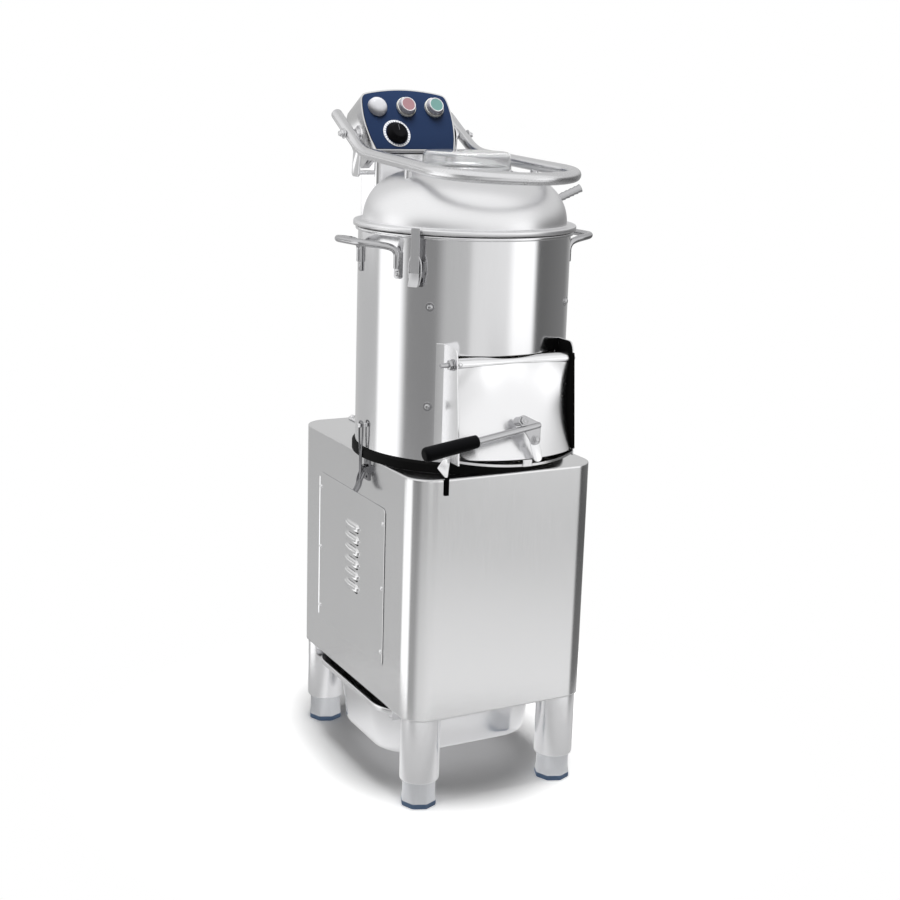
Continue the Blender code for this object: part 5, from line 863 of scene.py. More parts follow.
@dataclass
class Cabinet:
    """The folded body with its louvred panel and cable gland."""

    width: float = 0.306
    depth: float = 0.423
    low: float = 0.144
    top: float = 0.514
    middle: float = 0.049
    corner: float = 0.037
    edge: float = 0.0021
    hole: float = 0.1443
    panel: Pair = (0.243, 0.249)
    panel_middle: Pair = (0.0555, 0.3245)
    louvre_rows: int = 6
    louvre_top: float = 0.193
    louvre_pitch: float = 0.0194
    louvre_line: float = 0.007
    slot_drop: float = 0.0070
    hood: Pair = (0.0275, 0.0074)
    hood_foot: float = 0.0014
    hood_rise: float = 0.0045
    hood_lean: float = 0.35
    hem: float = 0.002
    shelf_share: float = 0.9

    def build(self) -> None:
        """Builds the shell, the panel and the gland."""
        fit("cabinet_body", self.shell(), SHEET_STEEL, "machine", ["cabinet_shell"], 0.0015)
        side = Place.facing((-self.width / 2, *self.panel_middle), (-1, 0, 0))
        fit("louvred_panel", self.sheet().laid(side), SHEET_STEEL, "machine", ["access_panel"],
            sharp=CRISP_ANGLE)
        fit("panel_lip", self.lip(), POLISHED, "machine", sharp=CRISP_ANGLE)
        fit("louvre_slots", self.slots().laid(side), DARK, "machine")
        fit("panel_screws", self.screws().laid(side), TRIM_STEEL, "machine")
        back = Place.facing((0.090, self.middle + self.depth / 2, self.low + 0.046), (0, 1, 0))
        fit("cable_gland", self.gland().laid(back), BLACK, "machine", ["power_gland"])

    def shell(self) -> Shape:
        """Walls that rise from a rounded outline, turn over an edge and run in to the drum's hole."""
        outline = rounded(self.width, self.depth, self.corner, 14, (0, self.middle))
        angle = np.arctan2(outline[:, 1], outline[:, 0])
        hole = self.hole * np.stack([np.cos(angle), np.sin(angle)], axis=1)
        rings = [(outline, self.low), (outline, self.low + self.hem), (outline, self.top - 2 * self.edge)]
        rings += [(inset(outline, self.edge * (1 - math.cos(t))), self.top - self.edge * (1 - math.sin(t)))
                  for t in np.linspace(0, QUARTER, 5)]
        shelf = inset(outline, 2 * self.edge)
        rings += [(shelf, self.top), (shelf + (hole - shelf) * self.shelf_share, self.top), (hole, self.top)]
        return Shape().grid(storeys(rings), wrap_v=True)

    def lip(self) -> Shape:
        """The panel's folded rear edge: a wedge, straight up, whose slope faces forward."""
        long, rise = 0.0024, 0.0009
        face, rear = -self.width / 2 - 0.0013, self.panel_middle[0] + self.panel[0] / 2
        wedge = np.array([(face, rear - long), (face, rear), (face - rise, rear)])
        middle, half = self.panel_middle[1], self.panel[1] / 2 - 0.008
        return slab(wedge, middle - half, middle + half, 0.00005)

    def sheet(self) -> Shape:
        """The panel with its hoods, which are flat ovals at their feet.

        With c and s the cosine and sine of u, a hood's points are x = a |c|^0.5 v and y = b |s|^0.8 v with
        the signs of c and s. Its height is h sqrt(1 - v^2.6), higher at its lower side than at its upper one.
        """
        shape = slab(rounded(*self.panel, 0.008), 0.0003, 0.0015, 0.0005)
        long, tall = self.hood
        u, v = np.meshgrid(np.linspace(0, 2 * math.pi, 40, endpoint=False), np.linspace(0, 1, 9),
                           indexing="ij")
        x = long * np.sign(np.cos(u)) * np.abs(np.cos(u)) ** 0.5 * v
        y = tall * np.sign(np.sin(u)) * np.abs(np.sin(u)) ** 0.8 * v
        lean = 1.0 - self.hood_lean * (y / tall)
        z = self.hood_foot + self.hood_rise * np.sqrt(np.clip(1 - v ** 2.6, 0, 1)) * lean
        for middle in self.rows():
            hood = np.stack([x + self.louvre_line, y + middle, z], axis=-1)
            shape.grid(hood.transpose(1, 0, 2), wrap_v=True)
        return shape

    def rows(self) -> list[float]:
        """The heights of the louvres' middles on the panel, from the top."""
        top = self.louvre_top - self.panel[1] / 2
        return [top - row * self.louvre_pitch for row in range(self.louvre_rows)]

    def slots(self) -> Shape:
        """Dark plates of painted shade that stand for the shaded mouths under the hoods."""
        shape = Shape()
        for middle in self.rows():
            outline = rounded(0.044, 0.0022, 0.0010, 4, (self.louvre_line, middle - self.slot_drop))
            shape.add(slab(outline, 0.0012, 0.0022, 0.0002))
        return shape

    def screws(self) -> Shape:
        """Six domed screw heads near the panel's edges."""
        shape = Shape()
        across, up = self.panel[0] / 2 - 0.006, self.panel[1] / 2 - 0.024
        head = eased([(0, 0.0036), (0.0025, 0.0034), (0.0036, 0.0019), (0.0037, 0.0013), (0, 0.0013)],
                     [0, 0.001, 0.0008, 0, 0], 4)
        for x in (-across, across):
            for y in (-up, 0.0, up):
                shape.add(turned(head, 20), Place((x, y, 0)))
        return shape

    def gland(self) -> Shape:
        """A cable gland: a hexagon collar under a turned, open dome nut."""
        dome = eased([(0.0100, 0.0045), (0.0100, 0.0085), (0.0085, 0.0122), (0.0048, 0.0124),
                      (0.0045, -0.005), (0.0078, -0.005), (0.0078, 0.0045)], [0.0003, 0.002, 0.002, 0.0006,
                                                                              0, 0, 0], 5, True)
        ring = nut(0.0118, 0.0004, 0.0050)
        return turned(dome, 32, True).add(ring)


@dataclass
class Vessel:
    """The drum with its beaded rim, the ring and pan under it, and the lining inside."""

    radius: float = 0.159
    low: float = 0.5294
    rim: float = 0.855
    bead: float = 0.163
    sheet: float = 0.0015
    mouth_half: float = 0.085
    mouth_low: float = 0.5465
    mouth_top: float = 0.6865
    shell_top: float = 0.514
    liner_low: float = 0.5495
    liner_top: float = 0.785
    handle_span: float = 0.048
    handle_reach: float = 0.207
    handle_rise: float = 0.262
    handle_turns: Pair = (-81.5, 90.4)
    stud_turns: tuple[float, ...] = (-45, 45, 135, -135)
    stud_rises: Pair = (0.081, 0.225)

    def build(self) -> None:
        """Builds the drum, its ring, pan, lining, handles and the lining's screws."""
        fit("drum_wall", self.wall(self.radius, (self.low, self.rim - 0.004),
                                   (self.mouth_low, self.mouth_top), 0.0),
            DRUM_STEEL, "machine", ["drum"], self.sheet)
        fit("drum_rim_bead", self.rings(), TRIM_STEEL, "machine")
        ring = eased([(0.1605, 0.5291), (0.1635, 0.5262), (0.1635, 0.5143), (0.1628, 0.5143),
                      (0.1628, 0.5161), (0.1505, 0.5161), (0.1505, 0.5291)], 0.0005, 4, True)
        fit("drum_ring", turned(ring, 160, True), RUBBER, "machine", ["drum_seal"])
        fit("drip_pan", self.pan(), TRIM_STEEL, "machine", ["base_pan"])
        inner = self.radius - self.sheet - 0.0003
        mouth = (self.liner_low - 0.001, self.mouth_top + self.sheet)
        fit("grit_lining", self.wall(inner, (self.liner_low, self.liner_top), mouth, 0.0015), GRIT,
            "machine", ["abrasive_liner"], 0.002)
        fit("lining_screws", self.studs(), FITTING_STEEL_PAINTED_SHADE, "machine")
        for name, angle in zip(("left", "right"), self.handle_turns):
            fit("loop_handle_" + name, self.handle(math.radians(angle)), FITTING_STEEL_PAINTED_SHADE, "machine",
                ["handle_" + name])

    def wall(self, radius: float, span: Pair, mouth: Pair, grow: float) -> Shape:
        """A cylinder (r sin a, -r cos a, z) whose cells over the chute's mouth are left out.

        Args:
            radius: Its outer radius.
            span: Its lowest and highest heights.
            mouth: The mouth's lowest and highest heights.
            grow: How much wider the mouth is than the drum's own.

        Returns:
            The open wall, with closely set rows and columns at the mouth's edges.
        """
        edge, hold = math.asin((self.mouth_half + grow) / radius), 0.0008
        turn = hold / radius
        a = np.concatenate([[-edge - turn], np.linspace(-edge, edge, 33), [edge + turn],
                            np.linspace(edge + turn, 2 * math.pi - edge - turn, 144)[1:-1]])
        rows = [level + step for level in (*mouth, *span) for step in (-hold, 0.0, hold)]
        z = np.unique(np.clip(rows, *span))
        height, angle = (z[1:] + z[:-1]) / 2, a + np.append(np.diff(a), 0.03) / 2
        keep = ~(((height > mouth[0]) & (height < mouth[1]))[:, None] & (np.abs(angle) < edge)[None])
        return Shape().grid(storeys([(arc(radius, a), level) for level in z]), wrap_v=True, keep=keep)

    def rings(self) -> Shape:
        """The rolled bead on the rim, the ledge at the bottom, and the latch stands and lugs on the wall."""
        top, inner = self.rim, self.radius - self.sheet
        bead = eased([(inner, top - 0.0055), (self.bead, top - 0.0060), (self.bead, top), (inner, top)],
                     [0.001, 0.0024, 0.0024, 0.001], 6, True)
        ledge = [(self.radius, self.low), (self.radius, self.low + self.sheet),
                 (0.151, self.low + self.sheet),
                 (0.151, self.low)]
        shape = turned(bead, 176, True).add(turned(eased(ledge, 0.0004, 3, True), 160, True))
        for sign in SIDES:
            shape.add(box((0.0115, 0.007, 0.006), (sign * 0.16425, 0, self.low + 0.034), 0.0008))
        return shape

    def pan(self) -> Shape:
        """The dished pan with its flange and the boss round the spindle."""
        top, sheet = self.shell_top + 0.0018, self.sheet
        floor = top - 0.022 - sheet
        section = [(0.1625, top), (0.1625, top - sheet), (0.144, top - sheet), (0.144, floor),
                   (0.0165, floor), (0.0165, floor + sheet + 0.018), (0.018, floor + sheet + 0.018),
                   (0.018, floor + sheet), (0.1425, floor + sheet), (0.1425, top)]
        return turned(eased(section, [0.0004, 0.0004, 0.001, 0.004, 0.001, 0.0003, 0.0003, 0.003, 0.004,
                                      0.003], 4, True), 128, True)

    def studs(self) -> Shape:
        """Domed screw heads, each on a washer, that hold the lining through the drum."""
        washer = eased([(0, 0.0011), (0.0068, 0.0011), (0.0070, 0.0002), (0, 0.0002)], [0, 0.0003, 0, 0], 3)
        head = eased([(0, 0.0040), (0.0028, 0.0038), (0.0044, 0.0016), (0.0044, 0.0009), (0, 0.0009)],
                     [0, 0.001, 0.0006, 0, 0], 4)
        shank = eased([(0, 0.0009), (0.0028, 0.0009), (0.0028, -0.0030), (0, -0.0030)], 0, 2)
        stud = turned(washer, 28).add(turned(head, 24)).add(turned(shank, 12))
        shape = Shape()
        for a in map(math.radians, self.stud_turns):
            for rise in self.stud_rises:
                shape.add(stud, Place.facing(bearing(a, self.radius, self.low + rise), bearing(a)))
        return shape

    def handle(self, angle: float) -> Shape:
        """A bent bar between two riveted tangs: its corners are cut until the bends are round.

        Args:
            angle: Where it stands, counted from the machine's front.

        Returns:
            The handle. The path is given as shares of its half span, of its reach and of its rise.
        """
        base = self.low + self.handle_rise
        half, root, depth, rise = self.handle_span, 0.0228, 0.1545, 0.0278
        shares = ((1, 0, -0.35), (1, 0, 0.0), (1, 0, 0.45), (0.97, 0.12, 0.72), (0.92, 0.35, 0.84),
                  (0.86, 0.62, 0.92), (0.76, 0.85, 0.97), (0.60, 0.97, 1.0), (0.35, 1.0, 1.0),
                  (0.0, 1.0, 1.0))
        path = np.array([(half * a, root + rise * u, depth + (self.handle_reach - depth) * o) for a, o,
                         u in shares])
        line = smoothed(np.vstack([path, (path * (-1, 1, 1))[-2::-1]]), 3)
        shape = bar(line, 0.005, 24).laid(Place.facing((0, 0, base), bearing(angle)))
        slant = math.asin(half / self.radius)
        dome = eased([(0, 0.0050), (0.0026, 0.0046), (0.0042, 0.0028), (0, 0.0028)], [0, 0.0012, 0.0004, 0],
                     5)
        tang = slab(rounded(0.0125, 0.040, 0.0035, 6), 0.0003, 0.0030, 0.0007)
        for y in (-0.0125, 0.0005):
            tang.add(turned(dome, 20), Place((0, y, 0)))
        for end in SIDES:
            a = angle + end * slant
            shape.add(tang, Place.facing(bearing(a, self.radius, base + 0.019), bearing(a)))
        return shape


@dataclass
class Chute:
    """The chute, its door on a hinge rod, and the clamp lever."""

    half: float = 0.0964
    sheet: float = 0.002
    low: float = 0.5365
    top: float = 0.7034
    seat: float = 0.1575
    reach_top: float = 0.1669
    reach_low: float = 0.182
    lip_reach: float = 0.215
    lip_radius: float = 0.150
    rod_reach: float = 0.1551
    rod_z: float = 0.6778
    lean: float = math.radians(15.5)
    door_half: float = 0.0925
    door_drop: float = 0.1323
    clamp_x: float = -0.008
    clamp_drop: float = 0.0798
    lever_angle: float = math.radians(188.4)
    floor_rise: float = 0.007
    lip_bead: float = 0.0016
    eye: Place = Place((0.016, -0.028, 0))

    def build(self) -> None:
        """Builds the chute, rod, door, lever, grip and tongue."""
        fit("chute_shell", self.shell(), POLISHED, "machine", ["chute"], sharp=CRISP_ANGLE)
        fit("cheek_shade_strip", self.strip(), DARK, "machine")
        fit("chute_gusset", self.gusset(), POLISHED, "machine")
        # Painted shade: a black box stands for the shaded slot in the cabinet's front under the chute's left
        # corner.
        drip = box((0.0072, 0.0012, 0.030), (-0.1045, -0.1642, 0.505), 0.0003)
        fit("front_slot_shade", drip, DARK, "machine")
        fit("hinge_rod", self.rod(), FITTING_STEEL_PAINTED_SHADE, "machine", ["door_hinge_rod"])
        fit("door_leaf", self.leaf(), POLISHED, "door", ["chute_door"])
        face = self.face()
        fit("door_fittings", self.fittings().laid(face), FITTING_STEEL_PAINTED_SHADE, "door", sharp=CRISP_ANGLE)
        fit("clamp_lever", self.lever().laid(face), FITTING_STEEL_PAINTED_SHADE, "door_lever", ["door_lever"],
            sharp=CRISP_ANGLE)
        fit("hand_grip", self.grip().laid(face), BLACK, "door_lever", ["lever_grip"])
        fit("clamp_blade", self.tongue().laid(face), POLISHED, "clamp_tongue", ["clamp_tongue"])

    def face(self) -> Place:
        """The frame on the door's face at the clamp's pin."""
        slope = math.tan(self.lean)
        reach = 0.172 + self.clamp_drop * slope
        out = (0, -math.cos(self.lean), math.sin(self.lean))
        up = (0, math.sin(self.lean), math.cos(self.lean))
        return Place.facing((self.clamp_x, -reach, self.rod_z - self.clamp_drop), out, up)

    def shell(self) -> Shape:
        """Two cheeks with round upper corners, tabs on the drum, and a sloping floor whose lip is an arc."""
        half, s = self.half, self.sheet
        back = math.sqrt(self.seat ** 2 - (half - s) ** 2) + 0.0008
        corners = [(-back, self.low), (-self.reach_low, self.low), (-self.reach_top, self.top),
                   (-back, self.top)]
        side = eased(corners, [0, 0.0015, 0.013, 0.001], 8, True)
        shape = Shape()
        for x in (-half, half - s):
            shape.add(slab(side, x, x + s, 0.0006), LYING_X)
        a = np.linspace(-1, 1, 41)
        lip = math.asin((half - 0.001) / self.lip_radius)
        rear = math.asin((half - 0.001) / self.seat)
        centre = self.lip_reach - self.lip_radius
        front, behind = arc(self.lip_radius, lip * a) - (0, centre), arc(self.seat + 0.001, rear * a)
        t = np.linspace(0, 1, 14)[:, None, None]
        plan = front[None] * (1 - t) + behind[None] * t
        rise = self.floor_rise * (self.lip_reach + plan[..., 1]) / (self.lip_reach - 0.159)
        bead = self.lip_bead * np.exp(-((t[..., 0] * 14) ** 2)) * np.ones_like(rise)
        upper = np.concatenate([plan, (self.low + rise + s + bead)[..., None]], axis=-1)
        lower = np.concatenate([plan, (self.low + rise)[..., None]], axis=-1)
        loop = np.concatenate([upper, lower[::-1]], axis=0)
        shape.grid(loop, wrap_u=True)
        shape.lid(loop[:, 0]).lid(loop[:, -1])
        start = math.asin((half - s) / self.seat)
        for sign in SIDES:
            b = sign * (start + np.linspace(0, 0.0115 / self.seat, 8))
            ring = np.concatenate([arc(0.1593, b), arc(0.1608, b[::-1])])
            shape.add(slab(ring, self.low + 0.012, self.top - max(0, sign) * 0.022, 0.0004))
        catch = box((0.0155, 0.003, 0.010), (-0.0035, -self.lip_reach - 0.001, self.low + 0.005), 0.0008)
        return shape.add(catch)

    def strip(self) -> Shape:
        """A black strip of painted shade and dark reflection that lines the right cheek and wraps its front
        edge.
        """
        s, lap, rear = self.sheet, 0.0006, -0.1285
        lean = (self.reach_low - self.reach_top) / (self.top - self.low)
        low, high = self.low + 0.010, self.top - 0.0005
        front = [(-(self.reach_low - lean * (z - self.low)) - lap, z) for z in (low, high - 0.016)]
        corners = [(rear, low), *front, (front[1][0] + 0.0085, high), (rear, high)]
        side = eased(corners, [0, 0.001, 0.008, 0.006, 0], 6, True)
        shape = slab(side, self.half - s - lap, self.half - s + 0.0002, 0.0001).laid(LYING_X)
        start, stop = np.array(front)
        long = float(np.linalg.norm(stop - start))
        along = np.array([0, *(stop - start)]) / long
        out = np.cross(RIGHT, along)
        out = out if out[1] < 0 else -out
        middle = (start + stop) / 2
        place = Place.facing((self.half - s / 2, middle[0] + 0.0002, middle[1]), out, along)
        return shape.add(slab(rounded(s + 0.0012, long, 0.0005, 4), -0.0002, lap, 0.0002), place)

    def gusset(self) -> Shape:
        """A bent steel tab under the chute's left corner."""
        outline = eased([(-0.1215, 0.5325), (-0.1125, 0.5445), (-0.1010, 0.5460), (-0.1045, 0.5175),
                         (-0.1085, 0.5175)], 0.0012, 4, True)
        return slab(outline, -0.0005, 0.0007, 0.0003).laid(Place.facing((0, -0.1655, 0), FRONT))

    def rod(self) -> Shape:
        """The hinge rod along X with a nut, a washer and a domed end on each side."""
        end = self.half + 0.0083
        tip = -end - 0.0115
        core = turned(eased([(0, tip), (0.0036, tip), (0.0036, -end), (0.004, -end), (0.004, end), (0, end)],
                            [0, 0.0012, 0, 0, 0.0015, 0], 5), 24)
        for sign in SIDES:
            low, high = sorted((sign * (self.half + 0.0015), sign * (self.half + 0.0070)))
            core.add(nut(0.0075, low, high))
            low, high = sorted((sign * (self.half + 0.0003), sign * (self.half + 0.0014)))
            core.add(slab(circle(0.0085, 32), low, high, 0.0003))
        return core.laid(self.hinge())

    def leaf(self) -> Shape:
        """The leaf, which is straight at its hinge sleeve and curved at its foot.

        For a share v down the leaf, the half width is w(v) with round corners and x = u w(v). With s near v,
        the face lies at y = -(1-s) a(x) - s (c + sqrt(R^2 - x^2) - tan(lean) z), with z from the rod and a(x)
        the sleeve's front.
        """
        start, corner, bow, skins, shift = 0.002, 0.013, 0.95, (0.161, 0.159), 0.011
        waist, swell, flare = 0.0058, 0.0028, (0.12, 0.5)
        u = np.linspace(-1, 1, 49)
        span = self.door_drop + start
        v = np.unique(np.concatenate([np.linspace(0, 0.9, 40), 1 - (1 - np.linspace(0, 1, 14)) ** 2 * 0.1]))
        over = np.clip(v * span - (span - corner), 0, corner)
        w = self.door_half - corner + np.sqrt(np.clip(corner ** 2 - over ** 2, 0, None))
        x = u[None] * w[:, None]
        z = np.broadcast_to((start - v * span)[:, None], x.shape)
        s = np.clip(-z / self.door_drop, 0, 1) ** bow
        share = np.clip((np.abs(x) / self.door_half - flare[0]) / flare[1], 0, 1)
        sleeve_front = waist + swell * share * share * (3 - 2 * share)
        layers = []
        for skin in skins:
            curved = shift + np.sqrt(skin ** 2 - x ** 2) - math.tan(self.lean) * z
            y = -(1 - s) * (self.rod_reach + skin - 0.1618 + sleeve_front) - s * curved
            layers.append(np.stack([x, y, z + self.rod_z], axis=-1))
        shape = Shape().grid(layers[0]).grid(layers[1]).hem(*layers)
        half = self.door_half
        sleeve = eased([(0.0044, -half), (0.0086, -half), (0.0086, -half * 0.55), (0.0058, -half * 0.17),
                        (0.0058, half * 0.17), (0.0086, half * 0.55), (0.0086, half), (0.0044, half)],
                       [0.0007, 0.0007, 0.018, 0.018, 0.018, 0.018, 0.0007, 0.0007], 6, True)
        screw = turned(eased([(0, 0.0026), (0.0022, 0.0024), (0.0034, 0.0006), (0.0034, -0.001), (0, -0.001)],
                             [0, 0.001, 0.0005, 0, 0], 4), 20)
        stud = Place.facing((-0.0885, -self.rod_reach - 0.0082, self.rod_z + 0.001), FRONT)
        return shape.add(turned(sleeve, 48, True), self.hinge()).add(screw, stud)

    def hinge(self) -> Place:
        """The frame on the hinge rod, whose third axis runs along it."""
        return Place.facing((0, -self.rod_reach, self.rod_z), RIGHT)

    def fittings(self) -> Shape:
        """The lug, pin and nut under the clamp lever's hub."""
        lug = eased([(0, 0.0115), (0.0062, 0.0115), (0.0068, -0.003), (0, -0.003)], [0, 0.0012, 0, 0], 5)
        pin = eased([(0, 0.0192), (0.0028, 0.0190), (0.0030, 0.0100), (0, 0.0100)], [0, 0.0008, 0, 0], 4)
        return turned(lug, 32).add(turned(pin, 20)).add(nut(0.0060, 0.0161, 0.0184))

    def lever(self) -> Shape:
        """The hub plate, an eye with a washer and screw, and the round rod that runs out to the grip."""
        plate = slab(belt([(0, 0, 0.0078), (0.022, -0.0083, 0.0048), (0.016, -0.028, 0.0078)]), 0.0118,
                     0.0158, 0.0008)
        start, long, slim, swell = np.array([0.0265, -0.0078, 0.0138]), 0.164, 0.0045, 0.0006
        t = np.linspace(0, 1, 24)
        rod = bar(start + self.along() * (long * t[:, None]), slim + swell * np.sin(math.pi * t), 24)
        shape, eye = plate.add(rod), self.eye
        screw = turned(eased([(0, 0.0214), (0.0034, 0.0212), (0.0036, 0.0185), (0, 0.0185)],
                             [0, 0.001, 0, 0], 4), 20)
        washer = slab(circle(0.0064, 32), 0.0158, 0.0170, 0.0003)
        shank = turned(np.array([(0, 0.0168), (0.003, 0.0168), (0.003, 0.0080), (0, 0.0080)]), 16)
        return shape.add(screw, eye).add(washer, eye).add(nut(0.0052, 0.0168, 0.0190), eye).add(shank, eye)

    def grip(self) -> Shape:
        """A moulded grip that swells towards its domed end."""
        start = np.array([0.022, -0.0083, 0.0138]) + self.along() * 0.100
        section = eased([(0.0048, 0), (0.0092, 0), (0.0100, 0.020), (0.0107, 0.083), (0.0078, 0.0858),
                         (0, 0.0858)], [0.0005, 0.0022, 0.012, 0.004, 0.002, 0], 7)
        return turned(section, 48).laid(Place.facing(start, self.along()))

    def along(self) -> Array:
        """The direction that the clamp lever's rod runs in, on the door's face."""
        return np.array([math.cos(self.lever_angle), math.sin(self.lever_angle), 0])

    def tongue(self) -> Shape:
        """The swinging blade that bears on the catch."""
        wide = 0.00725
        outline = belt([(0, 0, wide), (0.0035, -0.032 + wide, wide), (0.0035, -0.016, wide)])
        return slab(outline, 0.0085, 0.0115, 0.0007).laid(self.eye)


@dataclass
class Toggle:
    """A toggle latch: a plate with ears, a lever on their pin, and a strap or loop on the lever."""

    name: str
    carrier: Triple
    outward: Triple
    strap_top: float
    lever_drop: float
    wire: bool
    child: str
    pin_out: float = 0.007
    arm: float = 0.013
    arm_out: float = 0.01195
    strap_half: float = 0.00675
    lever_top: float = 0.0055

    def build(self) -> None:
        """Builds the stand, the lever and the strap."""
        face = Place.facing(self.carrier, self.outward)
        steel = LATCH_STEEL_PAINTED_SHADE if self.wire else STRAP_STEEL
        fit(self.name + "_stand", self.stand().laid(face), LATCH_STEEL_PAINTED_SHADE, "machine", sharp=CRISP_ANGLE)
        fit(self.name + "_hand_lever", self.lever().laid(face), steel, self.name + "_lever",
            [self.name + "_lever"], sharp=CRISP_ANGLE)
        fit(self.name + "_bow", self.strap().laid(face), steel, f"{self.name}_{self.child}",
            [f"{self.name}_{self.child}"], sharp=CRISP_ANGLE)

    def stand(self) -> Shape:
        """The base plate with its two rivets, its two ears and the pin through them."""
        shape = slab(rounded(0.0180, 0.036, 0.002, 5), -0.0008, 0.0019, 0.0004)
        dome = turned(eased([(0, 0.0032), (0.0015, 0.0030), (0.0026, 0.0018), (0, 0.0018)],
                            [0, 0.0006, 0, 0], 4), 16)
        ear = belt([(-0.0046, 0.001, 0.0010), (0.0046, 0.001, 0.0010), (0, self.pin_out, 0.0034)], 40)
        for sign in SIDES:
            shape.add(slab(ear, 0, 0.0016, 0.0003), Place.facing((sign * 0.0084 - 0.0008, 0, 0), RIGHT))
            shape.add(dome, Place((0, sign * 0.0130, 0)))
        return shape.add(pin(0.0018, 0.0104), Place.facing((0, 0, self.pin_out), RIGHT))

    def lever(self) -> Shape:
        """A pressed lever whose lower end curls outwards as t to the fourth power, and the strap's pin."""
        rows, columns, sheet, crown, curl = 24, 9, 0.0016, 0.0010, 0.0035
        pin_out, arm_out = self.pin_out, self.arm_out
        t = np.linspace(0, 1, rows)
        y = self.lever_top - t * (self.lever_top + self.lever_drop)
        end = arm_out + 0.0028 + 0.06 * self.lever_drop
        if self.wire:
            bend = np.interp(t, [0, 0.2, 0.55, 1.0], [pin_out - 0.001, pin_out, arm_out + 0.0006, end])
            wide = np.interp(t, [0, 0.12, 0.45, 1.0], [0.0050, 0.0078, 0.0066, 0.0042])
        else:
            bend = np.interp(t, [0, 0.10, 0.16, 1.0],
                             [pin_out - 0.001, pin_out + 0.001, arm_out + 0.0016, end])
            wide = np.interp(t, [0, 0.10, 0.16, 0.95, 1.0], [0.0036, 0.0045, 0.0076, 0.0076, 0.0068])
        bend = bend + curl * t ** 4
        u = np.linspace(-1, 1, columns)[None]
        front = np.stack([u * wide[:, None], np.broadcast_to(y[:, None], (rows, columns)),
                          bend[:, None] + 0.0011 - crown * u ** 2], axis=-1)
        rear = front - (0, 0, sheet)
        loops = np.concatenate([front, rear[:, ::-1]], axis=1)
        shape = Shape().grid(loops, wrap_v=True).lid(loops[0]).lid(loops[-1])
        rivet = turned(eased([(0, 0.0022), (0.0020, 0.0020), (0.0031, 0.0006), (0, 0.0)], [0, 0.001, 0, 0],
                             4), 20)
        shape.add(rivet, Place((0, 0.0012, pin_out + 0.0010)))
        cheek = slab(belt([(0, pin_out, 0.0032), (-self.arm, arm_out, 0.0030)], 32), 0, 0.0012, 0.0002)
        for sign in SIDES:
            shape.add(cheek, Place.facing((sign * 0.0052 - 0.0006, 0, 0), RIGHT))
            if self.wire:
                tail = smoothed([(sign * 0.0062, -0.004, pin_out + 0.001),
                                 (sign * 0.0072, -0.014, arm_out + 0.001),
                                 (sign * 0.0062, -self.lever_drop * 0.72, arm_out + 0.002),
                                 (sign * 0.0050, -self.lever_drop, arm_out + 0.0085)])
                shape.add(bar(tail, 0.0019, 16))
        return shape.add(pin(0.0016, 0.0072), Place.facing((0, -self.arm, arm_out), RIGHT))

    def strap(self) -> Shape:
        """A flat strap with an open foot, or a bent wire loop that narrows to a stem."""
        low, high = -self.arm - 0.0035, self.strap_top
        place = Place((0, 0, self.arm_out))
        if self.wire:
            s, stem = self.strap_half - 0.0010, 0.0018
            left = np.array([(-stem, low, 0), (-stem, high - 0.052, 0), (-s, high - 0.026, 0),
                             (-s, high - 0.0014, 0)])
            corners = np.vstack([left, (left * (-1, 1, 1))[::-1]])
            path = eased(corners, [0, 0.006, 0.006, 0.0045, 0.0045, 0.006, 0.006, 0], 8)
            return bar(path, 0.00145, 16).laid(place)
        s, leg = self.strap_half, 0.00175
        window = 2 * self.arm - 0.013
        corners = [(-s, low), (-s + leg, low), (-s + leg, window - 0.013), (s - leg, window - 0.013),
                   (s - leg, low), (s, low), (s, high), (-s, high)]
        outline = eased(corners, [0.0005, 0.0005, 0.002, 0.002, 0.0005, 0.0005, 0.0015, 0.0015], 4, True)
        wires = Shape()
        for sign in SIDES:
            wires.add(bar(smoothed([(sign * 0.0064, low + 0.002, -0.001), (sign * 0.0098, 0.000, -0.001),
                                    (sign * 0.0098, 0.016, -0.001), (sign * 0.0060, 0.026, 0.0)]), 0.0011,
                          14))
        wires.add(slab(outline, -0.00075, 0.00075, 0.0003))
        return wires.laid(place)


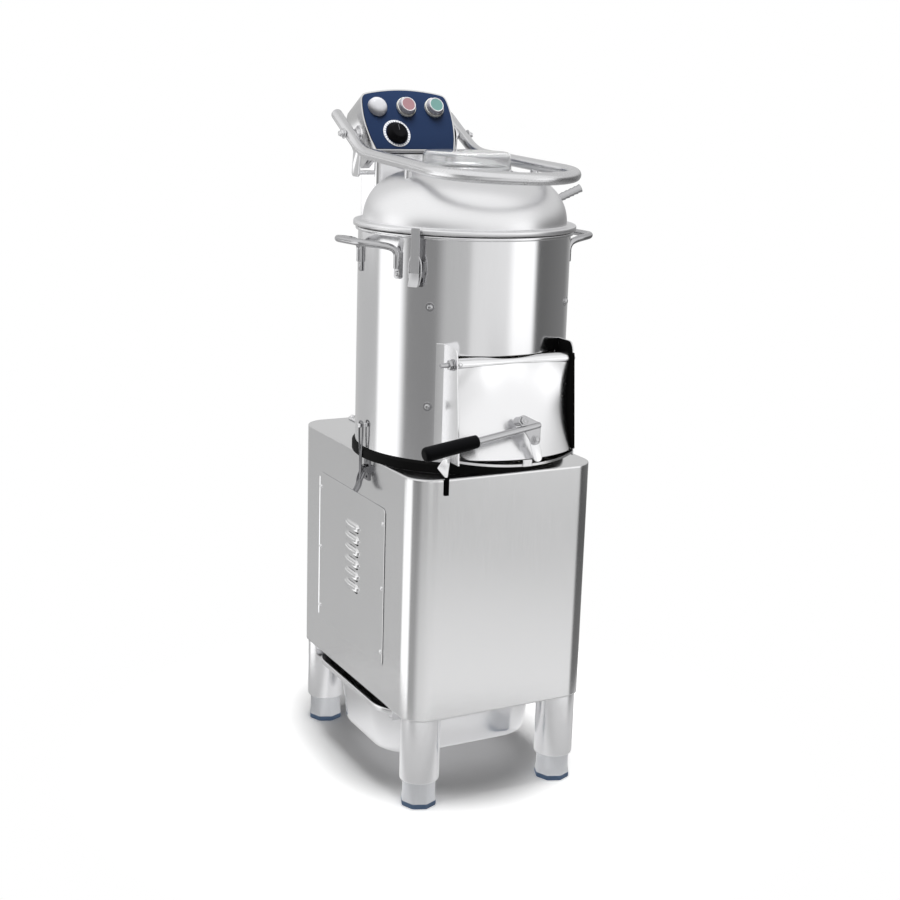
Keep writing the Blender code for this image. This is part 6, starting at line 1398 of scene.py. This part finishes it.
@dataclass
class Lid:
    """The domed lid with its clear cap, water inlet and bail."""

    rim_low: float = 0.856
    rim_top: float = 0.8635
    rim_radius: float = 0.1665
    base_radius: float = 0.1525
    crown_radius: float = 0.070
    crown_z: float = 0.9371
    pivot: Pair = (0.2024, 0.9820)
    bail_radius: float = 0.009
    bail_half_rear: float = 0.0997
    bail_half_front: float = 0.1111
    bail_reach: float = 0.2026
    bail_corner: float = 0.110
    bail_front_z: float = 0.9390
    bend: Pair = (0.1541, 0.9558)
    end: Pair = (0.2547, 1.0107)
    inlet_turns: Pair = (80, 24.2)
    inlet_share: float = 0.44
    post_y: float = -0.020
    post_low: float = 0.893

    def build(self) -> None:
        """Builds the dome, gasket, cap, inlet and bail."""
        fit("lid_dome", self.dome(), DOME_STEEL, "lid", ["lid"], 0.002)
        gasket = eased([(0.1625, 0.8612), (0.1625, 0.8553), (0.1535, 0.8553), (0.1535, 0.8612)], 0.0008, 4,
                       True)
        fit("lid_gasket_ring", turned(gasket, 144, True), RUBBER, "lid", ["lid_gasket"])
        fit("clear_cap", self.cap(), CLEAR, "lid_cap", ["lid_cap"])
        fit("hose_spigot", self.inlet(), FITTING_STEEL_PAINTED_SHADE, "lid", ["water_inlet"])
        fit("bail_tube", self.bail(), TUBE_STEEL, "lid", ["bail_handle"])

    def crown(self, a: float) -> Pair:
        """The crown's section: r = r0 + (r1 - r0) cos(a)^e and z = z0 + h sin(a)^e, with e near 0.95."""
        wide, tall = self.base_radius - self.crown_radius, self.crown_z - self.rim_top
        power = 0.952
        return (self.crown_radius + wide * abs(math.cos(a)) ** power,
                self.rim_top + tall * math.sin(a) ** power)

    def dome(self) -> Shape:
        """The neck, the crown and a turned-down rim, as one sheet."""
        last = 0.03
        crown = np.array([self.crown(a) for a in np.linspace(QUARTER, last, 44)])
        neck = eased([(0.062, 0.9451), (0.062, self.crown_z), (0.069, self.crown_z)], [0, 0.0035, 0], 6)
        skirt = eased([self.crown(last), (self.base_radius, self.rim_top), (self.rim_radius, self.rim_top),
                       (self.rim_radius, self.rim_low)], [0, 0.0020, 0.0026, 0], 7)
        return turned(np.vstack([neck[:-1], crown, skirt]), 176)

    def cap(self) -> Shape:
        """A thin clear cap with a foot flange, a rounded shoulder and a faintly crowned top."""
        low, top = 0.9374, 0.9674
        outer = [(0, top), (0.030, top - 0.0002), (0.0650, top - 0.0012), (0.0666, low + 0.0022),
                 (0.069, low + 0.0020),
                 (0.069, low), (0.0646, low), (0.0630, top - 0.0030), (0.030, top - 0.0022), (0, top - 0.002)]
        return turned(eased(outer, [0, 0.002, 0.007, 0.001, 0.0006, 0.0006, 0.001, 0.0055, 0.002, 0], 8), 96)

    def inlet(self) -> Shape:
        """A hose spigot with a collar on the dome and ribs along it."""
        azimuth, pitch = map(math.radians, self.inlet_turns)
        radius, z = self.crown(self.inlet_share)
        flat = np.array(bearing(azimuth))
        out = flat * math.cos(pitch) + np.array([0, 0, math.sin(pitch)])
        up = np.cross(np.cross(out, (0, 0, 1)), out)
        (start, stop), pitch = (0.0065, 0.0430), 0.0073
        t = np.linspace(start, stop, 90)
        wall = 0.0054 + 0.0011 * (((t - start) / pitch) % 1.0)
        core = [(0.0060, -0.006), (0.0060, 0.0011), (0.0098, 0.0013), (0.0098, 0.0042), (0.0056, 0.0044)]
        section = np.vstack([eased(core, [0, 0, 0.0008, 0.0008, 0], 4), np.column_stack([wall, t]),
                             [(0.0048, 0.0432), (0.0040, 0.0425), (0.0040, -0.006)]])
        return turned(section, 40, True).laid(Place.facing(flat * radius + (0, 0, z), out, up))

    def bail(self) -> Shape:
        """The bail's bar, mirrored about the middle, and its two posts on the dome."""
        (bend_y, bend_z), (end_y, end_z) = self.bend, self.end
        fall = (self.bail_front_z - bend_z) / (-self.bail_reach - bend_y)
        spread = (self.bail_half_front - self.bail_half_rear) / (bend_y + self.bail_reach)
        rear = np.array([(self.bail_half_rear, end_y, end_z), (self.bail_half_rear, bend_y, bend_z),
                         (self.bail_half_rear + spread * bend_y, 0.0, bend_z - fall * bend_y)])
        sweep = np.linspace(0, QUARTER, 26)
        y = -self.bail_reach + self.bail_corner - self.bail_corner * np.sin(sweep)
        front = np.column_stack([self.bail_half_front - self.bail_corner * (1 - np.cos(sweep)), y,
                                 bend_z + fall * (y - bend_y)])
        half = np.vstack([eased(rear, [0, 0.030, 0], 12), front])
        path = np.vstack([half, (half * (-1, 1, 1))[-2::-1]])
        shape = bar(path, self.bail_radius, 32)
        back = bend_y - self.post_y
        post_x, tall = self.bail_half_rear + spread * back, bend_z - fall * back - self.post_low
        foot = eased([(0, tall), (0.0062, tall), (0.0062, 0.022), (0.0085, 0.010), (0, 0.010)],
                     [0, 0, 0.004, 0.001, 0], 6)
        for sign in SIDES:
            shape.add(turned(foot, 32), Place((sign * post_x, self.post_y, self.post_low)))
        return shape


@dataclass
class Console:
    """The column with its hinge ears, the tilted head, and the controls in its face."""

    tilt: float = math.radians(60.1)
    face_y: float = 0.170
    face_z: float = 0.960
    depth: float = 0.066
    half: float = 0.0775
    height: float = 0.1037
    wall: float = 0.002
    column: Pair = (0.125, 0.066)
    column_y: float = 0.211
    foot_z: float = 0.5143
    pivot: Pair = (0.2024, 0.9820)
    button_x: float = -0.0012
    button_y: float = 0.0727
    pitch: float = 0.0498
    knob: Pair = (-0.0270, 0.0272)
    face_gap: float = 0.0035
    outline_shares: tuple[Pair, ...] = (
        (0.877, 0.0), (0.945, 0.18), (0.985, 0.36), (1.0, 0.54), (0.985, 0.72), (0.960, 0.84), (0.925, 0.895),
        (0.860, 0.925), (0.60, 0.962), (0.30, 0.990))

    def build(self) -> None:
        """Builds the column, head, panel and controls."""
        fit("console_post", self.post(), COLUMN_STEEL, "machine", ["console_column"])
        fit("hinge_bolts", self.hinge(), TUBE_STEEL, "machine")
        face = self.face()
        fit("console_housing", self.housing().laid(face), SHEET_STEEL, "machine", ["console_head"])
        panel = slab(self.outline(-0.0006), -0.0030, 0.0003, 0.0003).laid(face)
        fit("face_panel", panel, NAVY, "machine", ["control_panel"])
        bezel = eased([(0.0146, -0.001), (0.0164, -0.001), (0.0162, 0.0045), (0.0147, 0.0050)], 0.0006, 4,
                      True)
        bezels = Shape()
        for x in (self.button_x, self.button_x + self.pitch):
            bezels.add(turned(bezel, 48, True), Place((x, self.button_y, 0)))
        fit("button_bezels", bezels.laid(face), UNIT, "machine")
        self.controls(face)

    def face(self) -> Place:
        """The frame of the tilted face."""
        up = (0, math.cos(self.tilt), math.sin(self.tilt))
        out = (0, -math.sin(self.tilt), math.cos(self.tilt))
        return Place.facing((0, self.face_y, self.face_z), out, up)

    def outline(self, grow: float = 0.0) -> Array:
        """The face's outline: its corners are cut twice, and it is drawn out by a distance."""
        side = np.array(self.outline_shares) * (self.half, self.height)
        ring = np.vstack([side, [(0.0, self.height)], (side * (-1, 1))[::-1]])
        shifted = np.vstack([ring, ring[:1]])
        upper = smoothed(shifted[1:-2], 2)
        ring = np.vstack([eased(np.vstack([shifted[-2:-1], shifted[:1]]), 0), upper])
        return inset(ring, -grow)

    def housing(self) -> Shape:
        """The head's box: rings of the outline run from its eased front lip back to its rear face."""
        outer, inner = self.outline(self.wall), self.outline(-0.0002)
        lip, rear = 0.0007, -self.depth
        rings = storeys([(inner, -0.0032), (inner, -0.0004), (inset(outer, lip), 0.0), (outer, -lip),
                         (outer, -0.004), (outer, rear + 0.006), (inset(outer, 0.0008), rear + 0.002),
                         (inset(outer, 0.003), rear)])
        return Shape().grid(rings, wrap_v=True).lid(rings[-1]).lid(rings[0])

    def post(self) -> Shape:
        """The column, cut along the head's slope, with its foot, bolts and ears."""
        outline = rounded(*self.column, 0.010, 8, (0, self.column_y))
        slope = math.cos(self.tilt) / math.sin(self.tilt)
        under = self.face_z - self.face_gap - (outline[:, 1] - self.face_y) * slope
        rings = storeys([(outline, self.foot_z + 0.001), (outline, self.foot_z + 0.30), (outline, under)])
        shape = Shape().grid(rings, wrap_v=True).lid(rings[0]).lid(rings[-1])
        flange = rounded(self.column[0] + 0.024, self.column[1] + 0.024, 0.012, 8, (0, self.column_y))
        shape.add(slab(flange, self.foot_z, self.foot_z + 0.003, 0.0008))
        bolt = turned(eased([(0, 0.0062), (0.0026, 0.0060), (0.0036, 0.0032), (0, 0.0030)], [0, 0.001, 0, 0],
                            4), 16)
        for x in (-0.067, 0.067):
            for dy in (-0.037, 0.037):
                shape.add(bolt, Place((x, self.column_y + dy, self.foot_z)))
        py, pz = self.pivot
        drop, foot = pz - 0.0605, 0.0065
        ear = belt([(py, pz, 0.0125), (self.column_y - foot, drop, foot), (self.column_y + foot, drop, foot)])
        for sign in SIDES:
            shape.add(slab(ear, *sorted((sign * 0.0825, sign * 0.0855)), 0.0006), LYING_X)
            shape.add(box((0.023, 0.020, 0.006), (sign * 0.0725, self.column_y, drop), 0.0008))
        return shape

    def hinge(self) -> Shape:
        """The spacers, pins, washers and nuts on the hinge line; a row is a radius, sides and two ends."""
        rows = ((0.0077, 36, 0.084, 0.0904), (0.0039, 24, 0.084, 0.1180), (0.0082, 40, 0.1090, 0.1105))
        shape = Shape()
        for sign in SIDES:
            for radius, sides, near, far in rows:
                shape.add(slab(circle(radius, sides), *sorted((sign * near, sign * far)), 0.0005))
            shape.add(nut(0.0058, *sorted((sign * 0.1103, sign * 0.1150))))
        return shape.laid(Place.facing((0, *self.pivot), RIGHT))

    def controls(self, face: Place) -> None:
        """Builds the lamp, the two booted buttons, the dial ring and the knob."""
        def spot(x: float, y: float) -> Triple:
            """A point of the face in the finished piece's own metres."""
            point = face.lay(np.array([[x, y, 0.0]]))[0] + (0, AXIS_Y, 0)
            return tuple(map(float, point))

        lens = turned(eased([(0, 0.0105), (0.0100, 0.0098), (0.0150, 0.0060), (0.0160, 0.0003),
                             (0.006, 0.0003),
                             (0.006, -0.0075), (0, -0.0075)], [0, 0.004, 0.003, 0, 0, 0, 0], 8), 64)
        lens = lens.laid(Place((self.button_x - self.pitch, self.button_y, 0))).laid(face)
        fit("lamp_lens_dome", lens, LAMP, "machine", ["indicator_lamp"])
        boot = turned(eased([(0, 0.0120), (0.0108, 0.0122), (0.0118, 0.0126), (0.0132, 0.0108),
                             (0.0141, 0.0062), (0.0143, 0.0046), (0.006, 0.0046), (0.006, -0.0075),
                             (0, -0.0075)], [0, 0.0006, 0.0008, 0.0012, 0.002, 0.0003, 0, 0, 0], 6), 64)
        for name, x, colour, slot in (("stop", self.button_x, (0.33, 0.180, 0.197), "red"),
                                      ("start", self.button_x + self.pitch, (0.140, 0.285, 0.262), "green")):
            finish = Boot(name + "_boot", colour, 0.30, spot(x, self.button_y), face.out)
            made = boot.laid(Place((x, self.button_y, 0))).laid(face)
            fit(name + "_boot", made, finish, name + "_button", [name + "_button"])
        where = Place((*self.knob, 0))
        ring = turned(eased([(0.0188, 0.0002), (0.0232, 0.0002), (0.0230, 0.0011), (0.0190, 0.0012)], 0.0003,
                            3, True), 96, True)
        finish = Dial("dial_ring", (0.80, 0.81, 0.84), 0.40, spot(*self.knob), face.across, face.up)
        fit("dial_ring_plate", ring.laid(where).laid(face), finish, "machine")
        knob = turned(eased([(0, 0.0120), (0.0112, 0.0120), (0.0180, 0.0040), (0.0180, 0.0021),
                             (0.003, 0.0021),
                             (0.003, -0.018), (0, -0.018)], [0, 0.0012, 0.0015, 0.0004, 0, 0, 0], 7), 96)
        fit("dial_knob", knob.laid(where).laid(face), BLACK, "timer_knob", ["timer_knob"])
        mark = box((0.0012, 0.0090, 0.0004), (0, 0.0058, 0.0121), 0.0001)
        fit("knob_pointer", mark.laid(where).laid(face), DARK_STEEL, "timer_knob")


@dataclass
class Drive:
    """What turns inside: the disc, spindle and pulleys, and the carried-over solids round them."""

    kept: dict[str, Finish] = field(default_factory=lambda: {
        "basin_rail_front": TRIM_STEEL, "basin_rail_back": TRIM_STEEL, "cabinet_floor": SHEET_STEEL,
        "drain_pipe": BLACK, "driven_pulley": CASTING, "bearing_housing": CASTING,
        "upper_bearing": TRIM_STEEL, "lower_bearing": TRIM_STEEL, "shaft_seal": RUBBER, "motor": MOTOR,
        "motor_shaft": TRIM_STEEL, "motor_pulley": CASTING, "motor_bracket": SHEET_STEEL,
        "drive_belt": RUBBER, "switch_block": BLACK, "timer_unit": UNIT, "spindle": TRIM_STEEL})
    disc_top: float = 0.547
    disc_sheet: float = 0.006
    ridge_start: float = 0.0225
    ridge_run: float = 0.100
    ridge_half: float = 0.011
    ridge_rise: float = 0.007

    def build(self, nodes: dict[str, bpy.types.Object]) -> None:
        """Builds the disc and gives every kept solid its finish.

        Args:
            nodes: The machine's solids by name.
        """
        fit("grit_disc", self.disc(), GRIT, "rotor", ["abrasive_disc"])
        for name, finish in self.kept.items():
            nodes[name].data.materials.clear()
            nodes[name].data.materials.append(finish.material())

    def disc(self) -> Shape:
        """The disc, its hub, and three ridges of height h (1 - (y/w)^2), eased as a sine at their ends."""
        t, s = self.disc_top, self.disc_sheet
        hub, edge, bore = 0.0165, 0.1545, 0.0123
        section = [(0, t + s), (hub, t + s), (0.0225, t), (0.1515, t), (edge, t - 0.002), (edge, t - 0.009),
                   (0.1515, t - 0.009), (0.1515, t - s), (hub, t - s), (hub, t - 0.021), (bore, t - 0.021),
                   (bore, t), (0, t)]
        shape = turned(eased(section, [0, 0.002, 0.003, 0.001, 0.001, 0, 0, 0, 0.002, 0, 0, 0, 0], 4), 96)
        u, v = np.meshgrid(np.linspace(0, 1, 28), np.linspace(-1, 1, 15), indexing="ij")
        ease = np.clip(np.sin(math.pi * u) * 4, 0, 1)
        x, y = self.ridge_start + self.ridge_run * u, self.ridge_half * v * (0.4 + 0.6 * ease)
        z = t - 0.001 + self.ridge_rise * (1 - v ** 2) * ease
        for a in 2 * math.pi * np.arange(3) / 3:
            top = np.stack([x * math.cos(a) - y * math.sin(a), x * math.sin(a) + y * math.cos(a), z], axis=-1)
            base = top * (1, 1, 0) + (0, 0, t - 0.0015)
            shape.grid(top).grid(base).hem(top, base)
        return shape


@dataclass
class Studio:
    """The floor, the soft lights, the surrounding light and the camera."""

    eye: Triple = (-1.0890, -2.0034, 1.0634)
    right: Triple = (0.8840, -0.4664, 0.0302)
    up: Triple = (0.0841, 0.2222, 0.9714)
    ahead: Triple = (0.4598, 0.8562, -0.2356)
    lens: float = 60.544
    bands: tuple[Pair, ...] = (
        (0.0, 0.60), (0.09, 0.56), (0.213, 0.56), (0.22, 1.35), (0.305, 1.35), (0.33, 0.29), (0.42, 0.28),
        (0.45, 0.56), (0.515, 0.58), (0.53, 0.86), (0.635, 0.95), (0.66, 1.40), (0.725, 1.40), (0.74, 0.14),
        (0.90, 0.22), (1.0, 0.62))
    low_bands: tuple[Pair, ...] = (
        (0.0, 0.55), (0.165, 0.58), (0.18, 1.50), (0.300, 1.50), (0.318, 0.42), (0.385, 0.47), (0.45, 0.90),
        (0.60, 1.04), (0.71, 1.06), (0.75, 0.20), (0.90, 0.22), (1.0, 0.55))
    brightest: float = 1.5
    bearing_degrees: float = 28.2
    horizon: Pair = (-0.264, -0.246)
    dim: float = 0.50
    dim_rise: Pair = (-0.36, -0.27)
    dim_start: Pair = (0.34, 0.42)
    sky: Pair = (0.02, 0.24)
    sky_dim: float = 0.33
    card: float = 0.9
    card_width: tuple[Pair, Pair] = ((0.085, 0.11), (0.185, 0.205))
    card_height: tuple[Pair, Pair] = ((-0.10, -0.075), (-0.045, -0.02))
    front_dim: float = 0.42
    front_width: tuple[Pair, Pair] = ((0.56, 0.60), (0.76, 0.80))
    front_top: Pair = (-0.20, -0.17)
    ground: float = 0.40
    ground_edge: Pair = (-0.75, -0.45)
    soft: float = 0.02
    lamp_table: tuple[tuple[str, Triple, float, float], ...] = (
        ("overhead", (0.0, -0.1, 2.8), 1.0, 66.0), ("left", (-2.2, -1.6, 1.6), 1.8, 9.0),
        ("right", (2.3, -1.2, 1.3), 1.6, 3.5))
    floor_radius: float = 0.62
    floor_z: float = -0.0005
    floor_glow: float = 0.80
    shadow_edge: Pair = (0.130, 0.26)
    shadow_stretch: float = 0.45
    mirror_glow: float = 0.54
    mirror_edge: Pair = (0.18, 0.32)
    fade: Pair = (0.20, 0.01)

    def build(self) -> None:
        """Builds the camera, the surroundings, the lamps and the floor."""
        self.camera()
        self.world()
        self.lamps()
        self.floor()

    def camera(self) -> None:
        """The camera from which the machine is seen."""
        made = bpy.data.cameras.new("camera")
        made.sensor_width = 36.0
        made.lens = self.lens
        made.clip_end = 50.0
        eye = bpy.data.objects.new("camera", made)
        back = [-v for v in self.ahead]
        turn = Matrix([self.right, self.up, back]).transposed().to_4x4()
        x, y, z = self.eye
        eye.matrix_world = Matrix.Translation((x, y + AXIS_Y, z)) @ turn
        bpy.context.scene.collection.objects.link(eye)
        bpy.context.scene.camera = eye

    def world(self) -> None:
        """White to the eye; reflections see upright soft boxes and dark cards at fixed bearings.

        A share of the whole turn, counted from the camera's bearing, picks a band's light. Heights are those
        of the looking direction. Rays that aren't reflections meet a faint even light.
        """
        world = bpy.data.worlds.new("studio")
        bpy.context.scene.world = world
        board = Board(world)
        look = board.node("ShaderNodeTexCoord", output="Generated")
        x, y, z = [board.node("ShaderNodeSeparateXYZ", {}, {0: look}, axis) for axis in "XYZ"]
        angle = board.maths("ARCTAN2", x, y * -1.0)
        turn = board.maths("DIVIDE", angle, 2 * math.pi) + (0.5 + self.bearing_degrees / 360.0)
        share = board.maths("FRACT", turn)
        high, low = [self.ramp(board, share, stops) for stops in (self.bands, self.low_bands)]
        below = 1.0 - z.step(*self.horizon)
        dim = 1.0 - self.dim * z.step(*self.dim_rise) * share.step(*self.dim_start)
        sky = z.step(*self.sky)
        card = share.between(*self.card_width) * z.between(*self.card_height) * self.card
        shade = 1.05 - self.sky_dim * share.step(0.70, 0.80) - self.sky_dim * (1.0 - share.step(0.10, 0.20))
        ground = 1.0 - z.step(*self.ground_edge)
        front = share.between(*self.front_width) * (1.0 - z.step(*self.front_top))
        high = high * (1.0 - front * self.front_dim)
        ring = (high * (1.0 - below) + low * dim * below + card) * (1.0 - sky) + sky * shade
        level = ring * (1.0 - ground) + ground * self.ground
        glossy = board.ray("Glossy")
        soft = self.soft * (1.0 - glossy) + level * glossy
        seen = board.maths("MAXIMUM", board.ray("Camera"), board.ray("Transmission"))
        strength = soft * (1.0 - seen) + seen
        board.end(board.node("ShaderNodeBackground", {}, {"Color": (1, 1, 1, 1), "Strength": strength}),
                  "World")

    def ramp(self, board: Board, share: Signal, stops: Sequence[Pair]) -> Signal:
        """The light of a row of bands at a share of the turn, each stop a (share, light) pair."""
        greys = [(place, (value / self.brightest,) * 3) for place, value in stops]
        return board.node("ShaderNodeValToRGB", {"stops": greys}, {0: share}) * self.brightest

    def lamps(self) -> None:
        """Three large soft lamps: overhead, from the left front, and a weak one from the right."""
        for name, place, size, power in self.lamp_table:
            lamp = bpy.data.lights.new(name, "AREA")
            lamp.size = size
            lamp.energy = power
            made = bpy.data.objects.new(name, lamp)
            direction = np.array((0, 0, 0.5)) - place
            z = -direction / np.linalg.norm(direction)
            x = np.cross((0.0, 1.0, 0.0) if abs(z[2]) > 0.9 else (0.0, 0.0, 1.0), z)
            x /= np.linalg.norm(x)
            turn = Matrix([x, np.cross(z, x), z]).transposed().to_4x4()
            made.matrix_world = Matrix.Translation(place) @ turn
            made.visible_glossy = False
            bpy.context.scene.collection.objects.link(made)

    def floor(self) -> None:
        """A pale round floor, white to the eye outside the shadow, that ends in the white beyond."""
        floor = weld(Shape().lid(storeys([(circle(self.floor_radius, 96), self.floor_z)])[0]), "floor")
        made = bpy.data.materials.new("pale_floor")
        board = Board(made)
        x, y = board.dot((0, 0, 0), RIGHT), board.dot((0, 0, 0), (0, 1, 0))
        away = (x * x + y * y).root()
        behind = y - board.maths("MAXIMUM", y, 0.0) * self.shadow_stretch
        reach = (x * x + behind * behind).root()
        # Painted light: for camera rays the floor glows white outside an oval round the machine, which sets
        # where its shadow ends; near the machine it also glows for reflected rays only.
        glow = reach.step(*self.shadow_edge) * board.ray("Camera") * self.floor_glow
        glow = glow + (1.0 - away.step(*self.mirror_edge)) * board.ray("Glossy") * self.mirror_glow
        paint = board.node("ShaderNodeBsdfPrincipled", {}, {
            "Base Color": board.mix(board.noise(30.0, 3.0) * 0.01, (0.82, 0.82, 0.82), (0.79, 0.79, 0.79)),
            "Roughness": 0.9, "Specular IOR Level": 0.05, "Emission Strength": 1.0,
            "Emission Color": board.mix(glow, (0.0, 0.0, 0.0), (1.0, 1.0, 1.0))})
        clear = board.node("ShaderNodeBsdfTransparent")
        edge = away.step(self.floor_radius - self.fade[0], self.floor_radius - self.fade[1])
        board.end(board.node("ShaderNodeMixShader", {}, {0: edge, 1: paint, 2: clear}))
        floor.data.materials.append(made)


def main() -> None:
    """Loads the machine's frame and builds every sub-assembly in order."""
    logging.basicConfig(level=logging.WARNING, format="%(message)s")
    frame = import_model()
    Undercarriage().build()
    Cabinet().build()
    Vessel().build()
    Chute().build()
    angle = math.radians(-52)
    stand = bearing(angle, 0.159, 0.800)
    Toggle("lid_latch", stand, bearing(angle), strap_top=0.065, lever_drop=0.0165, wire=False,
           child="strap").build()
    for side, sign in zip(("left", "right"), SIDES):
        Toggle("drum_latch_" + side, (sign * 0.153, 0.0, 0.496), (sign, 0.0, 0.0), strap_top=0.0747,
               lever_drop=0.034, wire=True, child="loop").build()
    Lid().build()
    Console().build()
    Drive().build(frame["nodes"])
    Studio().build()
    bpy.context.scene.view_settings.view_transform = "Standard"


if __name__ == "__main__":
    main()
